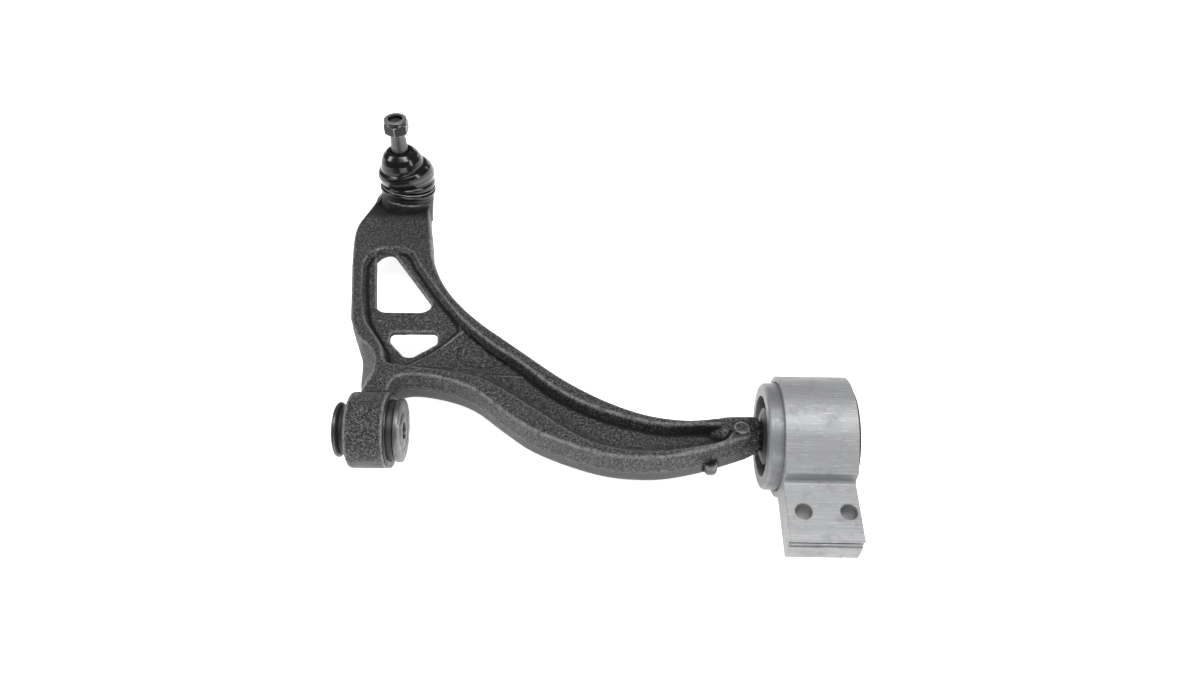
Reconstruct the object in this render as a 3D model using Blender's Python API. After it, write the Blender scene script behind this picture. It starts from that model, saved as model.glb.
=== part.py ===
"""Front lower control arm of a car, built as its separate pieces.

Frame: the origin is the centre of the rear bracket's mounting face, midway between its two bolt holes.
+X runs along the pivot axis from the front bush to the rear bush, +Y points outboard to the ball joint,
and +Z is up. Lengths in this file are millimetres; MM turns them into Blender's metres.
"""

import math

import bmesh
import bpy
import numpy as np
from mathutils import Matrix, Vector

MM = 0.001
GAP = 0.3  # between two pieces that touch on the real object

# Frame: where the pivot axis runs, and how the arm and the ball joint lean
PIVOT_Y = 76.7
PIVOT_Z = -13.0
BUSH_SPAN = 370.0  # front bush centre to rear bush centre
ARM_SLOPE = 7.0  # degrees that the arm falls outboard
BALL = (-12.0, 299.6, 15.0)  # ball centre in the arm's own frame
HOUSING_LEAN_Y = 10.0  # degrees, outboard, from the arm's normal
HOUSING_LEAN_X = 8.0  # degrees, rearward
STUD_LEAN_Y = 1.0

# Casting
RIM_HALF = 16.5  # half height of the rims
EDGE = 1.8  # rounding of the rims' upper edges
EDGE_UNDER = 4.0  # and of the lower ones
FLOOR = 5.5  # height of the channel's floor above the middle plane
POCKET_FLOOR = 3.6  # height of the deeper floor around the windows
UNDER_FLOOR = -2.0  # height of the web's underside
LIFT = 6.0  # how much higher the web lies beside the upper window
LIFT_START, LIFT_END = 80.0, 150.0
LIFT_SLOPE = 0.02  # and how much it still rises further out
CLIMB_STEPS = 6
WALL_HEIGHT = 9.0  # points of a cutter nearer the middle plane than this belong to its floor
TEARDROP_DEPTH = 0.9
EYE_RADIUS = 32.0  # eye that holds the front bush
EYE_LEFT, EYE_RIGHT = -15.0, 17.6
EYE_BORE = 28.0
NECK_RADIUS = 16.0
NECK_START, NECK_END = 286.0, 326.7
PIN_RADIUS = 12.0
PIN_END = 388.5
PIN_THREAD_RADIUS = 7.0
PIN_THREAD_END = 401.0
BOSS_RADIUS = 26.9
BOSS_TOP, BOSS_BOTTOM = 8.0, -22.0  # along the ball joint's axis from the ball centre
BOSS_BORE = 23.3

# Front bush
BOLT_RADIUS = 7.25
SLEEVE_RADIUS = 13.0
SLEEVE_LEFT, SLEEVE_RIGHT = -27.5, 29.3

# Rear bush and bracket
RING_RADIUS = 50.6
RING_BORE = 45.0
BRACKET_WIDTH = 58.0
FOOT_TOP = 13.0  # above the pivot axis
FOOT_THICKNESS = 28.6
FOOT_NEAR, FOOT_FAR = -50.1, -102.6
HOLE_RADIUS = 6.75
HOLE_SPACING = 35.5
HOLE_SHIFT = 2.0  # the two holes sit this far off the middle of the bracket
CAN_RADIUS = RING_BORE - GAP
CAN_LEFT = -41.0  # from the middle of the bracket
ROLL_RADIUS = 5.4  # rounded flange of the can
CAN_WALL = 2.2

# Ball joint, measured from the ball centre along the axis of the piece
BALL_RADIUS = 16.0
SEAT_RADIUS = 19.0
STUD_NECK = 7.5
STUD_SHOULDER = 9.1
TAPER_START, TAPER_END = 55.0, 83.0
THREAD_RADIUS = 7.0
STUD_END = 95.0
NUT_FLATS = 22.0
NUT_TOP = 98.0
COLLAR_RADIUS = 11.2


def clear_scene():
    for found in list(bpy.data.objects):
        bpy.data.objects.remove(found, do_unlink=True)


def material(name, colour, roughness, metallic=0.0):
    made = bpy.data.materials.new(name)
    made.use_nodes = True
    shader = made.node_tree.nodes["Principled BSDF"]
    shader.inputs["Base Color"].default_value = (*colour, 1.0)
    shader.inputs["Roughness"].default_value = roughness
    shader.inputs["Metallic"].default_value = metallic
    return made


def empty(name, place, lean_x=0.0, lean_y=0.0, parent=None):
    """A frame of reference: lean_x and lean_y turn it about X and Y, in degrees."""
    made = bpy.data.objects.new(name, None)
    bpy.context.scene.collection.objects.link(made)
    made.location = Vector(place) * MM
    made.rotation_euler = (math.radians(lean_x), math.radians(lean_y), 0.0)
    made.parent = parent
    return made


def finish_mesh(name, mesh_data, look, parent, sharp=35.0):
    """Makes the object from a bmesh in millimetres, shades it smooth and keeps its sharp edges."""
    bmesh.ops.remove_doubles(mesh_data, verts=mesh_data.verts, dist=1e-4)
    bmesh.ops.recalc_face_normals(mesh_data, faces=mesh_data.faces)
    bmesh.ops.scale(mesh_data, vec=(MM, MM, MM), verts=mesh_data.verts)
    mesh = bpy.data.meshes.new(name)
    mesh_data.to_mesh(mesh)
    mesh_data.free()
    mesh.shade_smooth()
    mesh.set_sharp_from_angle(angle=math.radians(sharp))
    made = bpy.data.objects.new(name, mesh)
    bpy.context.scene.collection.objects.link(made)
    made.parent = parent
    if look:
        mesh.materials.append(look)
    return made


def loft(name, rings, look=None, parent=None, closed=False, bend=None):
    """A solid through rings of equally many points, capped at both ends or, if closed, joined up."""
    made = bmesh.new()
    rows = [[made.verts.new(point) for point in ring] for ring in rings]
    count = len(rows[0])
    pairs = list(zip(rows, rows[1:] + rows[:1])) if closed else list(zip(rows, rows[1:]))
    for low, high in pairs:
        for i in range(count):
            j = (i + 1) % count
            made.faces.new((low[i], low[j], high[j], high[i]))
    if not closed:
        made.faces.new(rows[0])
        made.faces.new(rows[-1])
    if bend:
        bend(made)
    return finish_mesh(name, made, look, parent)


def turned(name, profile, look=None, parent=None, along="Z", steps=40, centre=(0, 0, 0)):
    """A turned solid: profile is a closed loop of (radius, place along the axis), spun with bmesh."""
    made = bmesh.new()
    points = [made.verts.new((radius, 0.0, place)) for radius, place in profile]
    edges = []
    for first, second in zip(points, points[1:] + points[:1]):
        if first.co.x > 0 or second.co.x > 0:
            edges.append(made.edges.new((first, second)))
    bmesh.ops.spin(
        made, geom=points + edges, cent=(0, 0, 0), axis=(0, 0, 1), dvec=(0, 0, 0),
        angle=math.tau, steps=steps, use_merge=True,
    )
    if along == "X":
        bmesh.ops.rotate(made, verts=made.verts, matrix=Matrix.Rotation(math.pi / 2, 3, "Y"))
    bmesh.ops.translate(made, verts=made.verts, vec=centre)
    return finish_mesh(name, made, look, parent)


def boolean(target, tool, operation):
    """Joins tool to target or cuts it away, and keeps tool as a hidden wire guide."""
    step = target.modifiers.new(f"{operation.lower()} {tool.name}", "BOOLEAN")
    step.operation = operation
    step.object = tool
    tool.hide_render = True
    tool.display_type = "WIRE"


def spline(points, per_span=4):
    """Points along the Catmull-Rom curve through the given ones."""
    spots = [Vector(p) for p in points]
    spots = [2 * spots[0] - spots[1]] + spots + [2 * spots[-1] - spots[-2]]
    found = []
    for a, b, c, d in zip(spots, spots[1:], spots[2:], spots[3:]):
        for step in range(per_span):
            t = step / per_span
            bend = 2 * b + (c - a) * t + (2 * a - 5 * b + 4 * c - d) * t**2 + (3 * b - a - 3 * c + d) * t**3
            found.append(bend / 2)
    return found + [spots[-2]]


def arc(centre, radius, first, last, steps):
    """Points on a circle, from one angle to another, in degrees."""
    found = []
    for step in range(steps + 1):
        angle = math.radians(first + (last - first) * step / steps)
        found.append(Vector((centre[0] + radius * math.cos(angle), centre[1] + radius * math.sin(angle))))
    return found


def rounded(corners, steps=5):
    """A closed outline from (x, y, radius) corners, each rounded by its own arc."""
    found = []
    count = len(corners)
    for i, (x, y, radius) in enumerate(corners):
        here = Vector((x, y))
        back = (Vector(corners[i - 1][:2]) - here).normalized()
        ahead = (Vector(corners[(i + 1) % count][:2]) - here).normalized()
        half = back.angle(ahead) / 2
        reach = radius / math.tan(half)
        centre = here + (back + ahead).normalized() * (radius / math.sin(half))
        start = here + back * reach - centre
        turn = start.angle_signed(here + ahead * reach - centre)
        first = math.degrees(math.atan2(start.y, start.x))
        found += arc(centre, radius, first, first - math.degrees(turn), steps)
    return found


def inset(outline, distance):
    """The outline moved inward by distance: each point slides along its own normal."""
    area = sum(a.x * b.y - b.x * a.y for a, b in zip(outline, outline[1:] + outline[:1]))
    turn = 1.0 if area > 0 else -1.0
    found = []
    for before, here, after in zip(outline[-1:] + outline[:-1], outline, outline[1:] + outline[:1]):
        first = (here - before).normalized()
        second = (after - here).normalized()
        along = (first + second).normalized()
        normal = Vector((-along.y, along.x)) * turn
        found.append(here + normal * distance / max(0.5, first.dot(along)))
    return found


def round_to_neck(outline, height):
    """Narrows the rear end of an outline so that it runs into the round neck."""
    found = []
    for point in outline:
        limit = NECK_RADIUS + 1.2 + 0.55 * max(0.0, NECK_END - 5.0 - point.x)
        half = math.sqrt(max(4.0, limit**2 - height**2))
        found.append(Vector((point.x, max(-half, min(half, point.y)))) if point.x > NECK_START else point)
    return found


def at_height(outline, height):
    return [(point.x, point.y, height) for point in outline]


def prism(name, outline, low, high):
    return loft(name, [at_height(outline, low), at_height(outline, high)], parent=None)


# ---------------------------------------------------------------------------------------------------
# Arm casting, in the arm's own frame: origin at the front bush's centre, X along the pivot axis
# ---------------------------------------------------------------------------------------------------

OUTER_EDGE = [
    (322, 8), (300, 7), (262, 3.5), (220, 13), (170, 41), (119, 84), (76, 123), (46, 162),
    (28, 205), (19.5, 250), (13, 283),
]
BOSS_FOOT = (-16.3, 298.0)
BOSS_FOOT_RADIUS = 28.5
LEFT_EDGE = [(-46.5, 288), (-50.5, 275), (-55.5, 257), (-56, 236), (-50.5, 196), (-44, 160), (-37, 120)]
LEFT_NECK_TOP = [(-37, 120), (-27, 96), (-14, 82), (-6.5, 68), (-5, 52), (-9, 38), (-11, 22)]
LEFT_NECK_MIDDLE = [(-37, 120), (-27, 96), (-21, 80), (-18.5, 66), (-17, 52), (-14, 38), (-13, 22)]
LOWER_EDGE = [
    (12, 22), (13, 37), (18, 46.5), (34, 49.5), (62, 43.5), (86, 32), (112, 9.5), (137, -10),
    (172, -26.5), (205, -36), (240, -37.5), (272, -31), (300, -21), (322, -12),
]
POCKET_LEFT = [(12, 62), (4, 67), (-2, 84), (-13, 102), (-22, 117), (-28, 137), (-34, 165), (-39, 196)]
POCKET_TOP = [(-39, 196), (-35, 210), (-25, 218), (-10, 219), (4, 214), (15, 194)]
POCKET_TOP_UNDER = [(-39, 196), (-39, 222), (-30, 237), (-10, 240), (6, 231), (15, 194)]
CHANNEL_OUTER = [
    (15, 194), (42, 151), (65, 119), (96, 87), (120, 68), (154, 36), (186, 16), (217, 4), (248, -3),
    (278, -2), (300, -2),
]
CHANNEL_LOWER = [
    (303, -8), (296, -17), (277, -23), (247, -28.5), (217, -28.5), (187, -20), (164, -6), (140, 13),
    (106, 38), (84, 50), (50, 57), (12, 62),
]
CHANNEL_LOWER_FLOOR = [
    (299, -8), (292, -11), (277, -15), (247, -20), (217, -20), (187, -9), (166, 6), (146, 24),
    (118, 49), (94, 62), (56, 66), (16, 66),
]
POCKET_DIAGONAL = [(65, 119), (65, 110), (50, 91.5), (32, 75), (12, 62)]
TEARDROP = [
    (112, 73), (95, 68), (78, 69), (68, 74), (63, 83), (65, 95), (74, 107),
]
WINDOW_UPPER = [(-32.5, 218, 7), (-14.2, 217.5, 6), (44, 134.5, 8), (-18, 134.5, 12)]
WINDOW_LOWER = [(-0.6, 111.8, 4), (43, 112.4, 4), (44.7, 98.5, 3.5), (19.5, 78, 6), (1, 100, 4)]


def casting_outline(neck):
    """The casting's outline in plan, anticlockwise, with the given run beside the front eye."""
    boss = arc(BOSS_FOOT, BOSS_FOOT_RADIUS, -10, 184, 14)
    left = spline(LEFT_EDGE, 3)[:-1] + spline(neck, 3)
    return spline(OUTER_EDGE, 3) + boss + left + spline(LOWER_EDGE, 3)


def lift(y):
    """How much higher the web lies at y than beside the front eye: it climbs towards the ball joint."""
    share = min(1.0, max(0.0, (y - LIFT_START) / (LIFT_END - LIFT_START)))
    return LIFT * share * share * (3 - 2 * share) + LIFT_SLOPE * max(0.0, y - LIFT_END)


def climb(made):
    """Makes a cutter's floor follow the web: cuts it across, then raises its points near the middle plane."""
    for step in range(CLIMB_STEPS + 1):
        y = LIFT_START + (LIFT_END - LIFT_START) * step / CLIMB_STEPS
        whole = made.verts[:] + made.edges[:] + made.faces[:]
        bmesh.ops.bisect_plane(made, geom=whole, plane_co=(0, y, 0), plane_no=(0, 1, 0))
    for point in made.verts:
        if abs(point.co.z) < WALL_HEIGHT:
            point.co.z = min(point.co.z + lift(point.co.y), RIM_HALF - EDGE - 0.6)


def channel_outline(outer, lower, pocket_top):
    """The channel and the pocket round the windows together, anticlockwise."""
    pocket = spline(pocket_top[::-1], 3)[:-1] + spline(POCKET_LEFT[::-1], 2)[:-1]
    return spline(outer[::-1], 2)[:-1] + pocket + spline(lower[::-1], 2)


def channel_cutter(name, side, pocket_top, floor_height):
    """Cutter for the channel on one side: steep along the outer rim, an easy slope along the lower one."""
    top = channel_outline(CHANNEL_OUTER, CHANNEL_LOWER, pocket_top)
    floor = inset(channel_outline(CHANNEL_OUTER, CHANNEL_LOWER_FLOOR, pocket_top), 1.8)
    rings = [
        at_height(inset(top, -EDGE - 1.0), side * (RIM_HALF + 2.0)),
        at_height(inset(top, -EDGE), side * (RIM_HALF + 0.2)),
        at_height(top, side * (RIM_HALF - EDGE)),
        at_height(inset(floor, -1.2), floor_height + side * 2.2),
        at_height(floor, floor_height),
    ]
    return loft(name, rings, bend=climb)


def pocket_cutter(name):
    """Cutter for the slightly deeper floor round the two windows, on the upper side."""
    pocket = spline(POCKET_DIAGONAL[::-1], 3)[:-1] + spline(CHANNEL_OUTER[2::-1], 2)[:-1]
    pocket += spline(POCKET_TOP[::-1], 3)[:-1] + spline(POCKET_LEFT[::-1], 2)[:-1]
    rings = [
        at_height(inset(pocket, 1.9), FLOOR + 1.0),
        at_height(inset(pocket, 2.1), FLOOR - 0.4),
        at_height(inset(pocket, 3.6), POCKET_FLOOR),
    ]
    return loft(name, rings, bend=climb)


def arm_casting(look, frame, ball_frame):
    top = casting_outline(LEFT_NECK_TOP)
    middle = casting_outline(LEFT_NECK_MIDDLE)
    levels = [
        (middle, EDGE_UNDER, -RIM_HALF),
        (middle, 0.3 * EDGE_UNDER, -RIM_HALF + 0.3 * EDGE_UNDER),
        (middle, 0.0, -RIM_HALF + EDGE_UNDER),
        (middle, 0.0, 0.0),
        (top, 0.0, RIM_HALF - EDGE),
        (top, 0.3 * EDGE, RIM_HALF - 0.3 * EDGE),
        (top, EDGE, RIM_HALF),
    ]
    rings = [at_height(round_to_neck(inset(run, by), height), height) for run, by, height in levels]
    casting = loft("arm_casting", rings, look, frame)
    tools = []

    def shape(tool, operation, parent=frame):
        tool.parent = parent
        boolean(casting, tool, operation)
        tools.append(tool)

    shape(channel_cutter("cut_channel_top", 1, POCKET_TOP, FLOOR), "DIFFERENCE")
    shape(channel_cutter("cut_channel_under", -1, POCKET_TOP_UNDER, UNDER_FLOOR), "DIFFERENCE")
    shape(pocket_cutter("cut_pocket"), "DIFFERENCE")
    teardrop = spline(TEARDROP, 3)
    rings = [at_height(inset(teardrop, -0.5), FLOOR + 1.0), at_height(teardrop, FLOOR - TEARDROP_DEPTH)]
    shape(loft("cut_teardrop", rings, bend=climb), "DIFFERENCE")
    shape(prism("cut_window_upper", rounded(WINDOW_UPPER), -20, 20), "DIFFERENCE")
    shape(prism("cut_window_lower", rounded(WINDOW_LOWER), -20, 20), "DIFFERENCE")

    # Rear neck and pin: round, on the pivot axis, and its end is threaded for the bush's nut
    neck = [
        (0, NECK_START), (9, NECK_START), (NECK_RADIUS - 1, NECK_START + 10), (NECK_RADIUS, NECK_START + 20),
        (NECK_RADIUS, NECK_END - 1), (NECK_RADIUS - 1, NECK_END), (PIN_RADIUS, NECK_END),
        (PIN_RADIUS, PIN_END - 1), (PIN_RADIUS - 1, PIN_END), (PIN_THREAD_RADIUS, PIN_END),
        (PIN_THREAD_RADIUS, PIN_THREAD_END - 1), (PIN_THREAD_RADIUS - 1, PIN_THREAD_END), (0, PIN_THREAD_END),
    ]
    shape(turned("add_neck", neck, along="X", steps=28), "UNION")
    pad = [(0, 2), (6.4, 2), (6.4, 16.4), (5.6, 17.2), (0, 17.2)]
    shape(turned("add_pad", pad, steps=16, centre=(310, -7, 0)), "UNION")
    lug = [(0, -13), (5, -13), (5.6, -12), (5.6, -3), (0, -3)]
    shape(turned("add_lug", lug, steps=14, centre=(286, -27.5, 0)), "UNION")

    # Eye for the front bush
    eye = [
        (0, EYE_LEFT), (EYE_RADIUS - 1.5, EYE_LEFT), (EYE_RADIUS, EYE_LEFT + 1.5),
        (EYE_RADIUS, EYE_RIGHT - 1.5), (EYE_RADIUS - 1.5, EYE_RIGHT), (0, EYE_RIGHT),
    ]
    shape(turned("add_eye", eye, along="X", steps=40), "UNION")
    bore = [(0, -40), (EYE_BORE, -40), (EYE_BORE, 40), (0, 40)]
    shape(turned("cut_eye_bore", bore, along="X", steps=40), "DIFFERENCE")

    # Boss for the ball joint, on the joint's own leaning axis, with its underside faced off square to it
    boss = [
        (0, BOSS_BOTTOM - 6), (BOSS_RADIUS, BOSS_BOTTOM - 6), (BOSS_RADIUS, BOSS_TOP - 1.2),
        (BOSS_RADIUS - 1.2, BOSS_TOP), (0, BOSS_TOP),
    ]
    shape(turned("add_boss", boss, steps=40), "UNION", ball_frame)
    web = [(-12, -20), (-36, -20), (-31.5, -6), (-25.8, 6.0), (-12, 6.0)]
    rings = [[(x, y, z) for x, z in web] for y in (-9, 7)]
    shape(loft("add_boss_web", rings), "UNION", ball_frame)
    facing = [(-28, BOSS_BOTTOM), (50, BOSS_BOTTOM), (50, -70), (-75, -70), (-75, -52), (-60, -43)]
    rings = [[(side, y, z) for y, z in facing] for side in (-60, 60)]
    shape(loft("cut_underside", rings), "DIFFERENCE", ball_frame)
    bore = [(0, -60), (BOSS_BORE, -60), (BOSS_BORE, 40), (0, 40)]
    shape(turned("cut_boss_bore", bore, steps=40), "DIFFERENCE", ball_frame)
    return casting


# ---------------------------------------------------------------------------------------------------
# Front bush, in the arm's frame, turned about the pivot axis
# ---------------------------------------------------------------------------------------------------


def front_bush(steel, rubber, plated, frame):
    outer = EYE_BORE - GAP
    lip = EYE_RIGHT + GAP
    sleeve = [
        (outer - 1.6, EYE_LEFT - 1.6), (outer, EYE_LEFT - 1.0), (outer, lip), (EYE_RADIUS - 0.5, lip),
        (EYE_RADIUS - 0.3, lip + 0.8), (EYE_RADIUS - 0.8, lip + 1.4), (outer - 1.6, lip + 1.4),
    ]
    turned("front_outer_sleeve", sleeve, steel, frame, "X", 44)
    inside = outer - 1.6 - GAP
    inner = SLEEVE_RADIUS + GAP
    filling = [
        (inner, -21.6), (20.5, -21.6), (21.5, -19.0), (inside, EYE_LEFT - 2.0), (inside, lip + 1.2),
        (inside - 0.4, 22.4), (inside - 1.4, 24.2), (inner, 24.2),
    ]
    turned("front_rubber", filling, rubber, frame, "X", 40)
    tube = [
        (BOLT_RADIUS, SLEEVE_LEFT), (SLEEVE_RADIUS - 0.6, SLEEVE_LEFT), (SLEEVE_RADIUS, SLEEVE_LEFT + 0.6),
        (SLEEVE_RADIUS, SLEEVE_RIGHT - 0.6), (SLEEVE_RADIUS - 0.6, SLEEVE_RIGHT), (BOLT_RADIUS, SLEEVE_RIGHT),
    ]
    turned("front_inner_sleeve", tube, steel, frame, "X", 32)
    left = [
        (inner, -27.0), (20.5, -27.0), (22.4, -26.2), (23.2, -24.6), (22.6, -22.8), (21.0, -21.9),
        (inner, -21.9),
    ]
    turned("front_left_disc", left, plated, frame, "X", 32)
    right = [
        (inner, 24.5), (25.6, 24.5), (26.8, 25.3), (26.8, 28.0), (26.0, 28.8), (inner, 28.8),
    ]
    turned("front_right_disc", right, plated, frame, "X", 32)


# ---------------------------------------------------------------------------------------------------
# Rear bush and its bracket; places along X are from the middle of the bracket
# ---------------------------------------------------------------------------------------------------


def bracket_profile():
    """The extrusion's outline in (Y, Z) about the pivot axis, clockwise from the ring's flat."""
    flat_angle = 128.0
    foot_bottom = FOOT_TOP - FOOT_THICKNESS
    fillet = 9.0
    reach = math.sqrt((RING_RADIUS + fillet) ** 2 - (foot_bottom - fillet) ** 2)
    low_centre = Vector((-reach, foot_bottom - fillet))
    meet = math.degrees(math.atan2(low_centre.y, low_centre.x))
    ring = arc((0, 0), RING_RADIUS, flat_angle, meet, 36)
    hollow = arc(low_centre, fillet, meet + 180, 90, 4)
    end = [
        (FOOT_FAR + 1.2, foot_bottom), (FOOT_FAR, foot_bottom + 1.2), (FOOT_FAR, FOOT_TOP - 11.0),
        (FOOT_FAR + 1.4, FOOT_TOP - 9.6), (FOOT_FAR + 1.4, FOOT_TOP - 6.6), (FOOT_FAR + 3.0, FOOT_TOP - 6.0),
        (FOOT_FAR + 3.0, FOOT_TOP - 4.0), (FOOT_FAR + 0.8, FOOT_TOP - 3.4), (FOOT_FAR + 0.8, FOOT_TOP),
    ]
    corner = arc((FOOT_NEAR - 3.0, FOOT_TOP + 3.0), 3.0, -90, 0, 4)
    edge = [(FOOT_NEAR, 24.0), (FOOT_NEAR + 0.6, 25.6)]
    return ring + hollow + [Vector(p) for p in end] + corner + [Vector(p) for p in edge]


def rear_bracket(look, frame):
    half = BRACKET_WIDTH / 2
    outline = bracket_profile()
    rings = [[(x, p.x, p.y) for p in outline] for x in (-half, half)]
    bracket = loft("rear_bracket", rings, look, frame)
    chamfer = 1.2
    bore = [
        (0, -half - 5), (RING_BORE + chamfer + 5, -half - 5), (RING_BORE + chamfer, -half),
        (RING_BORE, -half + chamfer), (RING_BORE, half - chamfer), (RING_BORE + chamfer, half),
        (RING_BORE + chamfer + 5, half + 5), (0, half + 5),
    ]
    tool = turned("cut_ring_bore", bore, along="X", steps=48, parent=frame)
    boolean(bracket, tool, "DIFFERENCE")
    for name, side in (("cut_hole_left", -1), ("cut_hole_right", 1)):
        hole = [(0, -60), (HOLE_RADIUS, -60), (HOLE_RADIUS, 60), (0, 60)]
        place = (HOLE_SHIFT + side * HOLE_SPACING / 2, -PIVOT_Y, 0)
        tool = turned(name, hole, steps=32, centre=place, parent=frame)
        boolean(bracket, tool, "DIFFERENCE")
    return bracket


def rear_bush(steel, rubber, core_metal, dark, frame, arm_frame):
    inner = CAN_RADIUS - CAN_WALL
    roll = CAN_LEFT + ROLL_RADIUS
    rolled = arc((CAN_RADIUS - ROLL_RADIUS, roll), ROLL_RADIUS, 0, -180, 7)
    lip = rolled[-1].x
    can = [(p.x, p.y) for p in rolled]
    can += [(lip, roll + 5.0), (inner, roll + 9.0), (inner, 27.5), (CAN_RADIUS, 27.5)]
    turned("rear_can", can, steel, frame, "X", 44)

    # These ride on the casting's pin: the far frame is the arm's, moved to the rear bush
    pin = PIN_RADIUS + GAP
    shoulder = NECK_END - BUSH_SPAN + GAP
    disc = [
        (pin, shoulder), (20.5, shoulder), (22.5, shoulder + 2.0), (22.5, shoulder + 5.0),
        (21.0, shoulder + 6.5), (pin, shoulder + 6.5),
    ]
    turned("rear_stop_disc", disc, dark, arm_frame, "X", 36)
    core_left = shoulder + 6.5 + GAP
    core_right = PIN_END - BUSH_SPAN
    core = core_shape("rear_core", core_left, core_right, 0.0, core_metal, arm_frame)
    boolean(core, turned("cut_core_bore", [(0, -80), (pin, -80), (pin, 80), (0, 80)], along="X", steps=28,
                         parent=arm_frame), "DIFFERENCE")

    spring_radius = inner - GAP
    spring = [(0, -22.0), (spring_radius, -22.0), (spring_radius, 22.0), (0, 22.0)]
    rubber_spring = turned("rear_rubber_spring", spring, rubber, arm_frame, "X", 40)
    boolean(rubber_spring, core_shape("cut_spring_core", -60, 60, GAP, None, arm_frame), "DIFFERENCE")
    for name, side in (("cut_void_upper", 1), ("cut_void_lower", -1)):
        outer = arc((0, 0), 38.0, 90 - 58, 90 + 58, 12)
        inward = arc((0, 0), 26.0, 90 + 44, 90 - 44, 8)
        rings = [[(x, p.x, side * p.y) for p in outer + inward] for x in (-40, 8)]
        boolean(rubber_spring, loft(name, rings, parent=arm_frame), "DIFFERENCE")

    end = BRACKET_WIDTH / 2
    rim = [
        (33.0, 24.0), (inner - GAP, 24.0), (inner - GAP, 27.5 + GAP), (42.0, 28.6), (42.5, end + 0.4),
        (44.8, end + 0.5), (45.4, end + 1.2), (45.0, end + 2.6), (43.4, end + 3.4), (37.0, end + 3.4),
        (35.0, end + 2.6),
    ]
    turned("rear_end_rim", rim, rubber, frame, "X", 40)
    nut_left = core_right + GAP
    bore = PIN_THREAD_RADIUS + GAP
    levels = [(nut_left, 14.5, False), (nut_left + 2.0, 14.5, False), (nut_left + 3.0, 11.9, True),
              (nut_left + 9.5, 11.9, True), (nut_left + 10.5, 10.8, True)]
    hexagon_nut("rear_pin_nut", levels, 21.0, bore, dark, arm_frame, along="X")


def core_shape(name, left, right, grow, look, frame):
    """The rear bush's core: an oval across, upright, which turns with the arm."""
    width, height = 20.5 + grow, 32.0 + grow
    steps = 36
    oval = []
    for step in range(steps):
        angle = math.tau * step / steps
        oval.append((width * math.cos(angle), height * math.sin(angle)))
    rings = []
    for x, scale in ((left, 0.93), (left + 2.5, 1.0), (right - 2.5, 1.0), (right, 0.93)):
        if look is None:
            scale = 1.0
        rings.append([(x, y * scale, z * scale) for y, z in oval])
    return loft(name, rings, look, frame)


# ---------------------------------------------------------------------------------------------------
# Ball joint
# ---------------------------------------------------------------------------------------------------


def hexagon_nut(name, levels, flats, bore, look, frame, along="Z", steps=36):
    """A nut: levels are (place, greatest radius, whether the flats cut it), ending in a bore."""
    apothem = flats / 2
    rings = []

    def ring(place, limit, flat):
        points = []
        for step in range(steps):
            angle = math.tau * step / steps
            from_flat = (angle + math.pi / 6) % (math.pi / 3) - math.pi / 6
            radius = min(limit, apothem / math.cos(from_flat)) if flat else limit
            across, up = radius * math.cos(angle), radius * math.sin(angle)
            points.append((place, across, up) if along == "X" else (across, up, place))
        return points

    for place, limit, flat in levels:
        rings.append(ring(place, limit, flat))
    rings.append(ring(levels[-1][0], bore, False))
    rings.append(ring(levels[0][0], bore, False))
    return loft(name, rings, look, frame, closed=True)


def sphere_profile(radius, first, last, steps):
    """(radius, place) points on a ball, between two angles above its equator, in degrees."""
    return [(p.x, p.y) for p in arc((0, 0), radius, first, last, steps)]


def ball_joint(steel, seat_plastic, dark, frame, stud_frame):
    outer = BOSS_BORE - GAP
    flange_low = BOSS_TOP + GAP
    housing = [
        (SEAT_RADIUS + GAP, -17.8), (20.8, -17.8), (20.8, -21.4), (19.6, -22.0), (19.6, -25.5), (20.5, -27.0),
        (outer - 0.8, -27.0), (outer, -26.2), (outer, -25.2), (21.4, -25.2), (21.4, -23.2), (outer, -23.2),
        (outer, flange_low), (26.8, flange_low), (26.8, 12.0), (26.2, 12.6), (18.0, 12.6), (15.0, 7.4),
        (SEAT_RADIUS + GAP, 7.4),
    ]
    turned("ball_housing", housing, steel, frame, steps=36)
    pocket = BALL_RADIUS + GAP
    top = math.degrees(math.asin(7.0 / pocket))
    low = math.degrees(math.asin(-13.2 / pocket))
    seat = [(9.0, -17.4), (SEAT_RADIUS, -17.4), (SEAT_RADIUS, 7.0)] + sphere_profile(pocket, top, low, 8)
    turned("ball_seat", seat, seat_plastic, frame, steps=30)
    cover = [(0, -21.2), (20.5, -21.2), (20.5, -18.0), (14.0, -18.0), (10.0, -17.7), (0, -17.7)]
    turned("housing_cover", cover, steel, frame, steps=32)

    circlip("circlip", 21.7, 25.6, -25.0, -23.5, dark, frame)

    neck_angle = math.degrees(math.acos(STUD_NECK / BALL_RADIUS))
    stud = [(0, -15.035)]
    stud += sphere_profile(BALL_RADIUS, -70, neck_angle, 10)
    stud += [
        (STUD_NECK, 30.0), (STUD_SHOULDER, 40.0), (STUD_SHOULDER, TAPER_START), (THREAD_RADIUS, TAPER_END),
        (THREAD_RADIUS, STUD_END - 1.2), (THREAD_RADIUS - 1.2, STUD_END), (0, STUD_END),
    ]
    turned("ball_stud", stud, steel, stud_frame, steps=28)
    corner = NUT_FLATS / 2 / math.cos(math.pi / 6)
    levels = [
        (TAPER_END + GAP, 11.0, True), (TAPER_END + GAP + 1.2, corner, True), (92.4, corner, True),
        (93.6, 11.9, True), (93.9, COLLAR_RADIUS, False), (NUT_TOP - 1.2, COLLAR_RADIUS, False),
        (NUT_TOP, COLLAR_RADIUS - 1.2, False),
    ]
    hexagon_nut("stud_nut", levels, NUT_FLATS, THREAD_RADIUS + GAP, dark, stud_frame)


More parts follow.
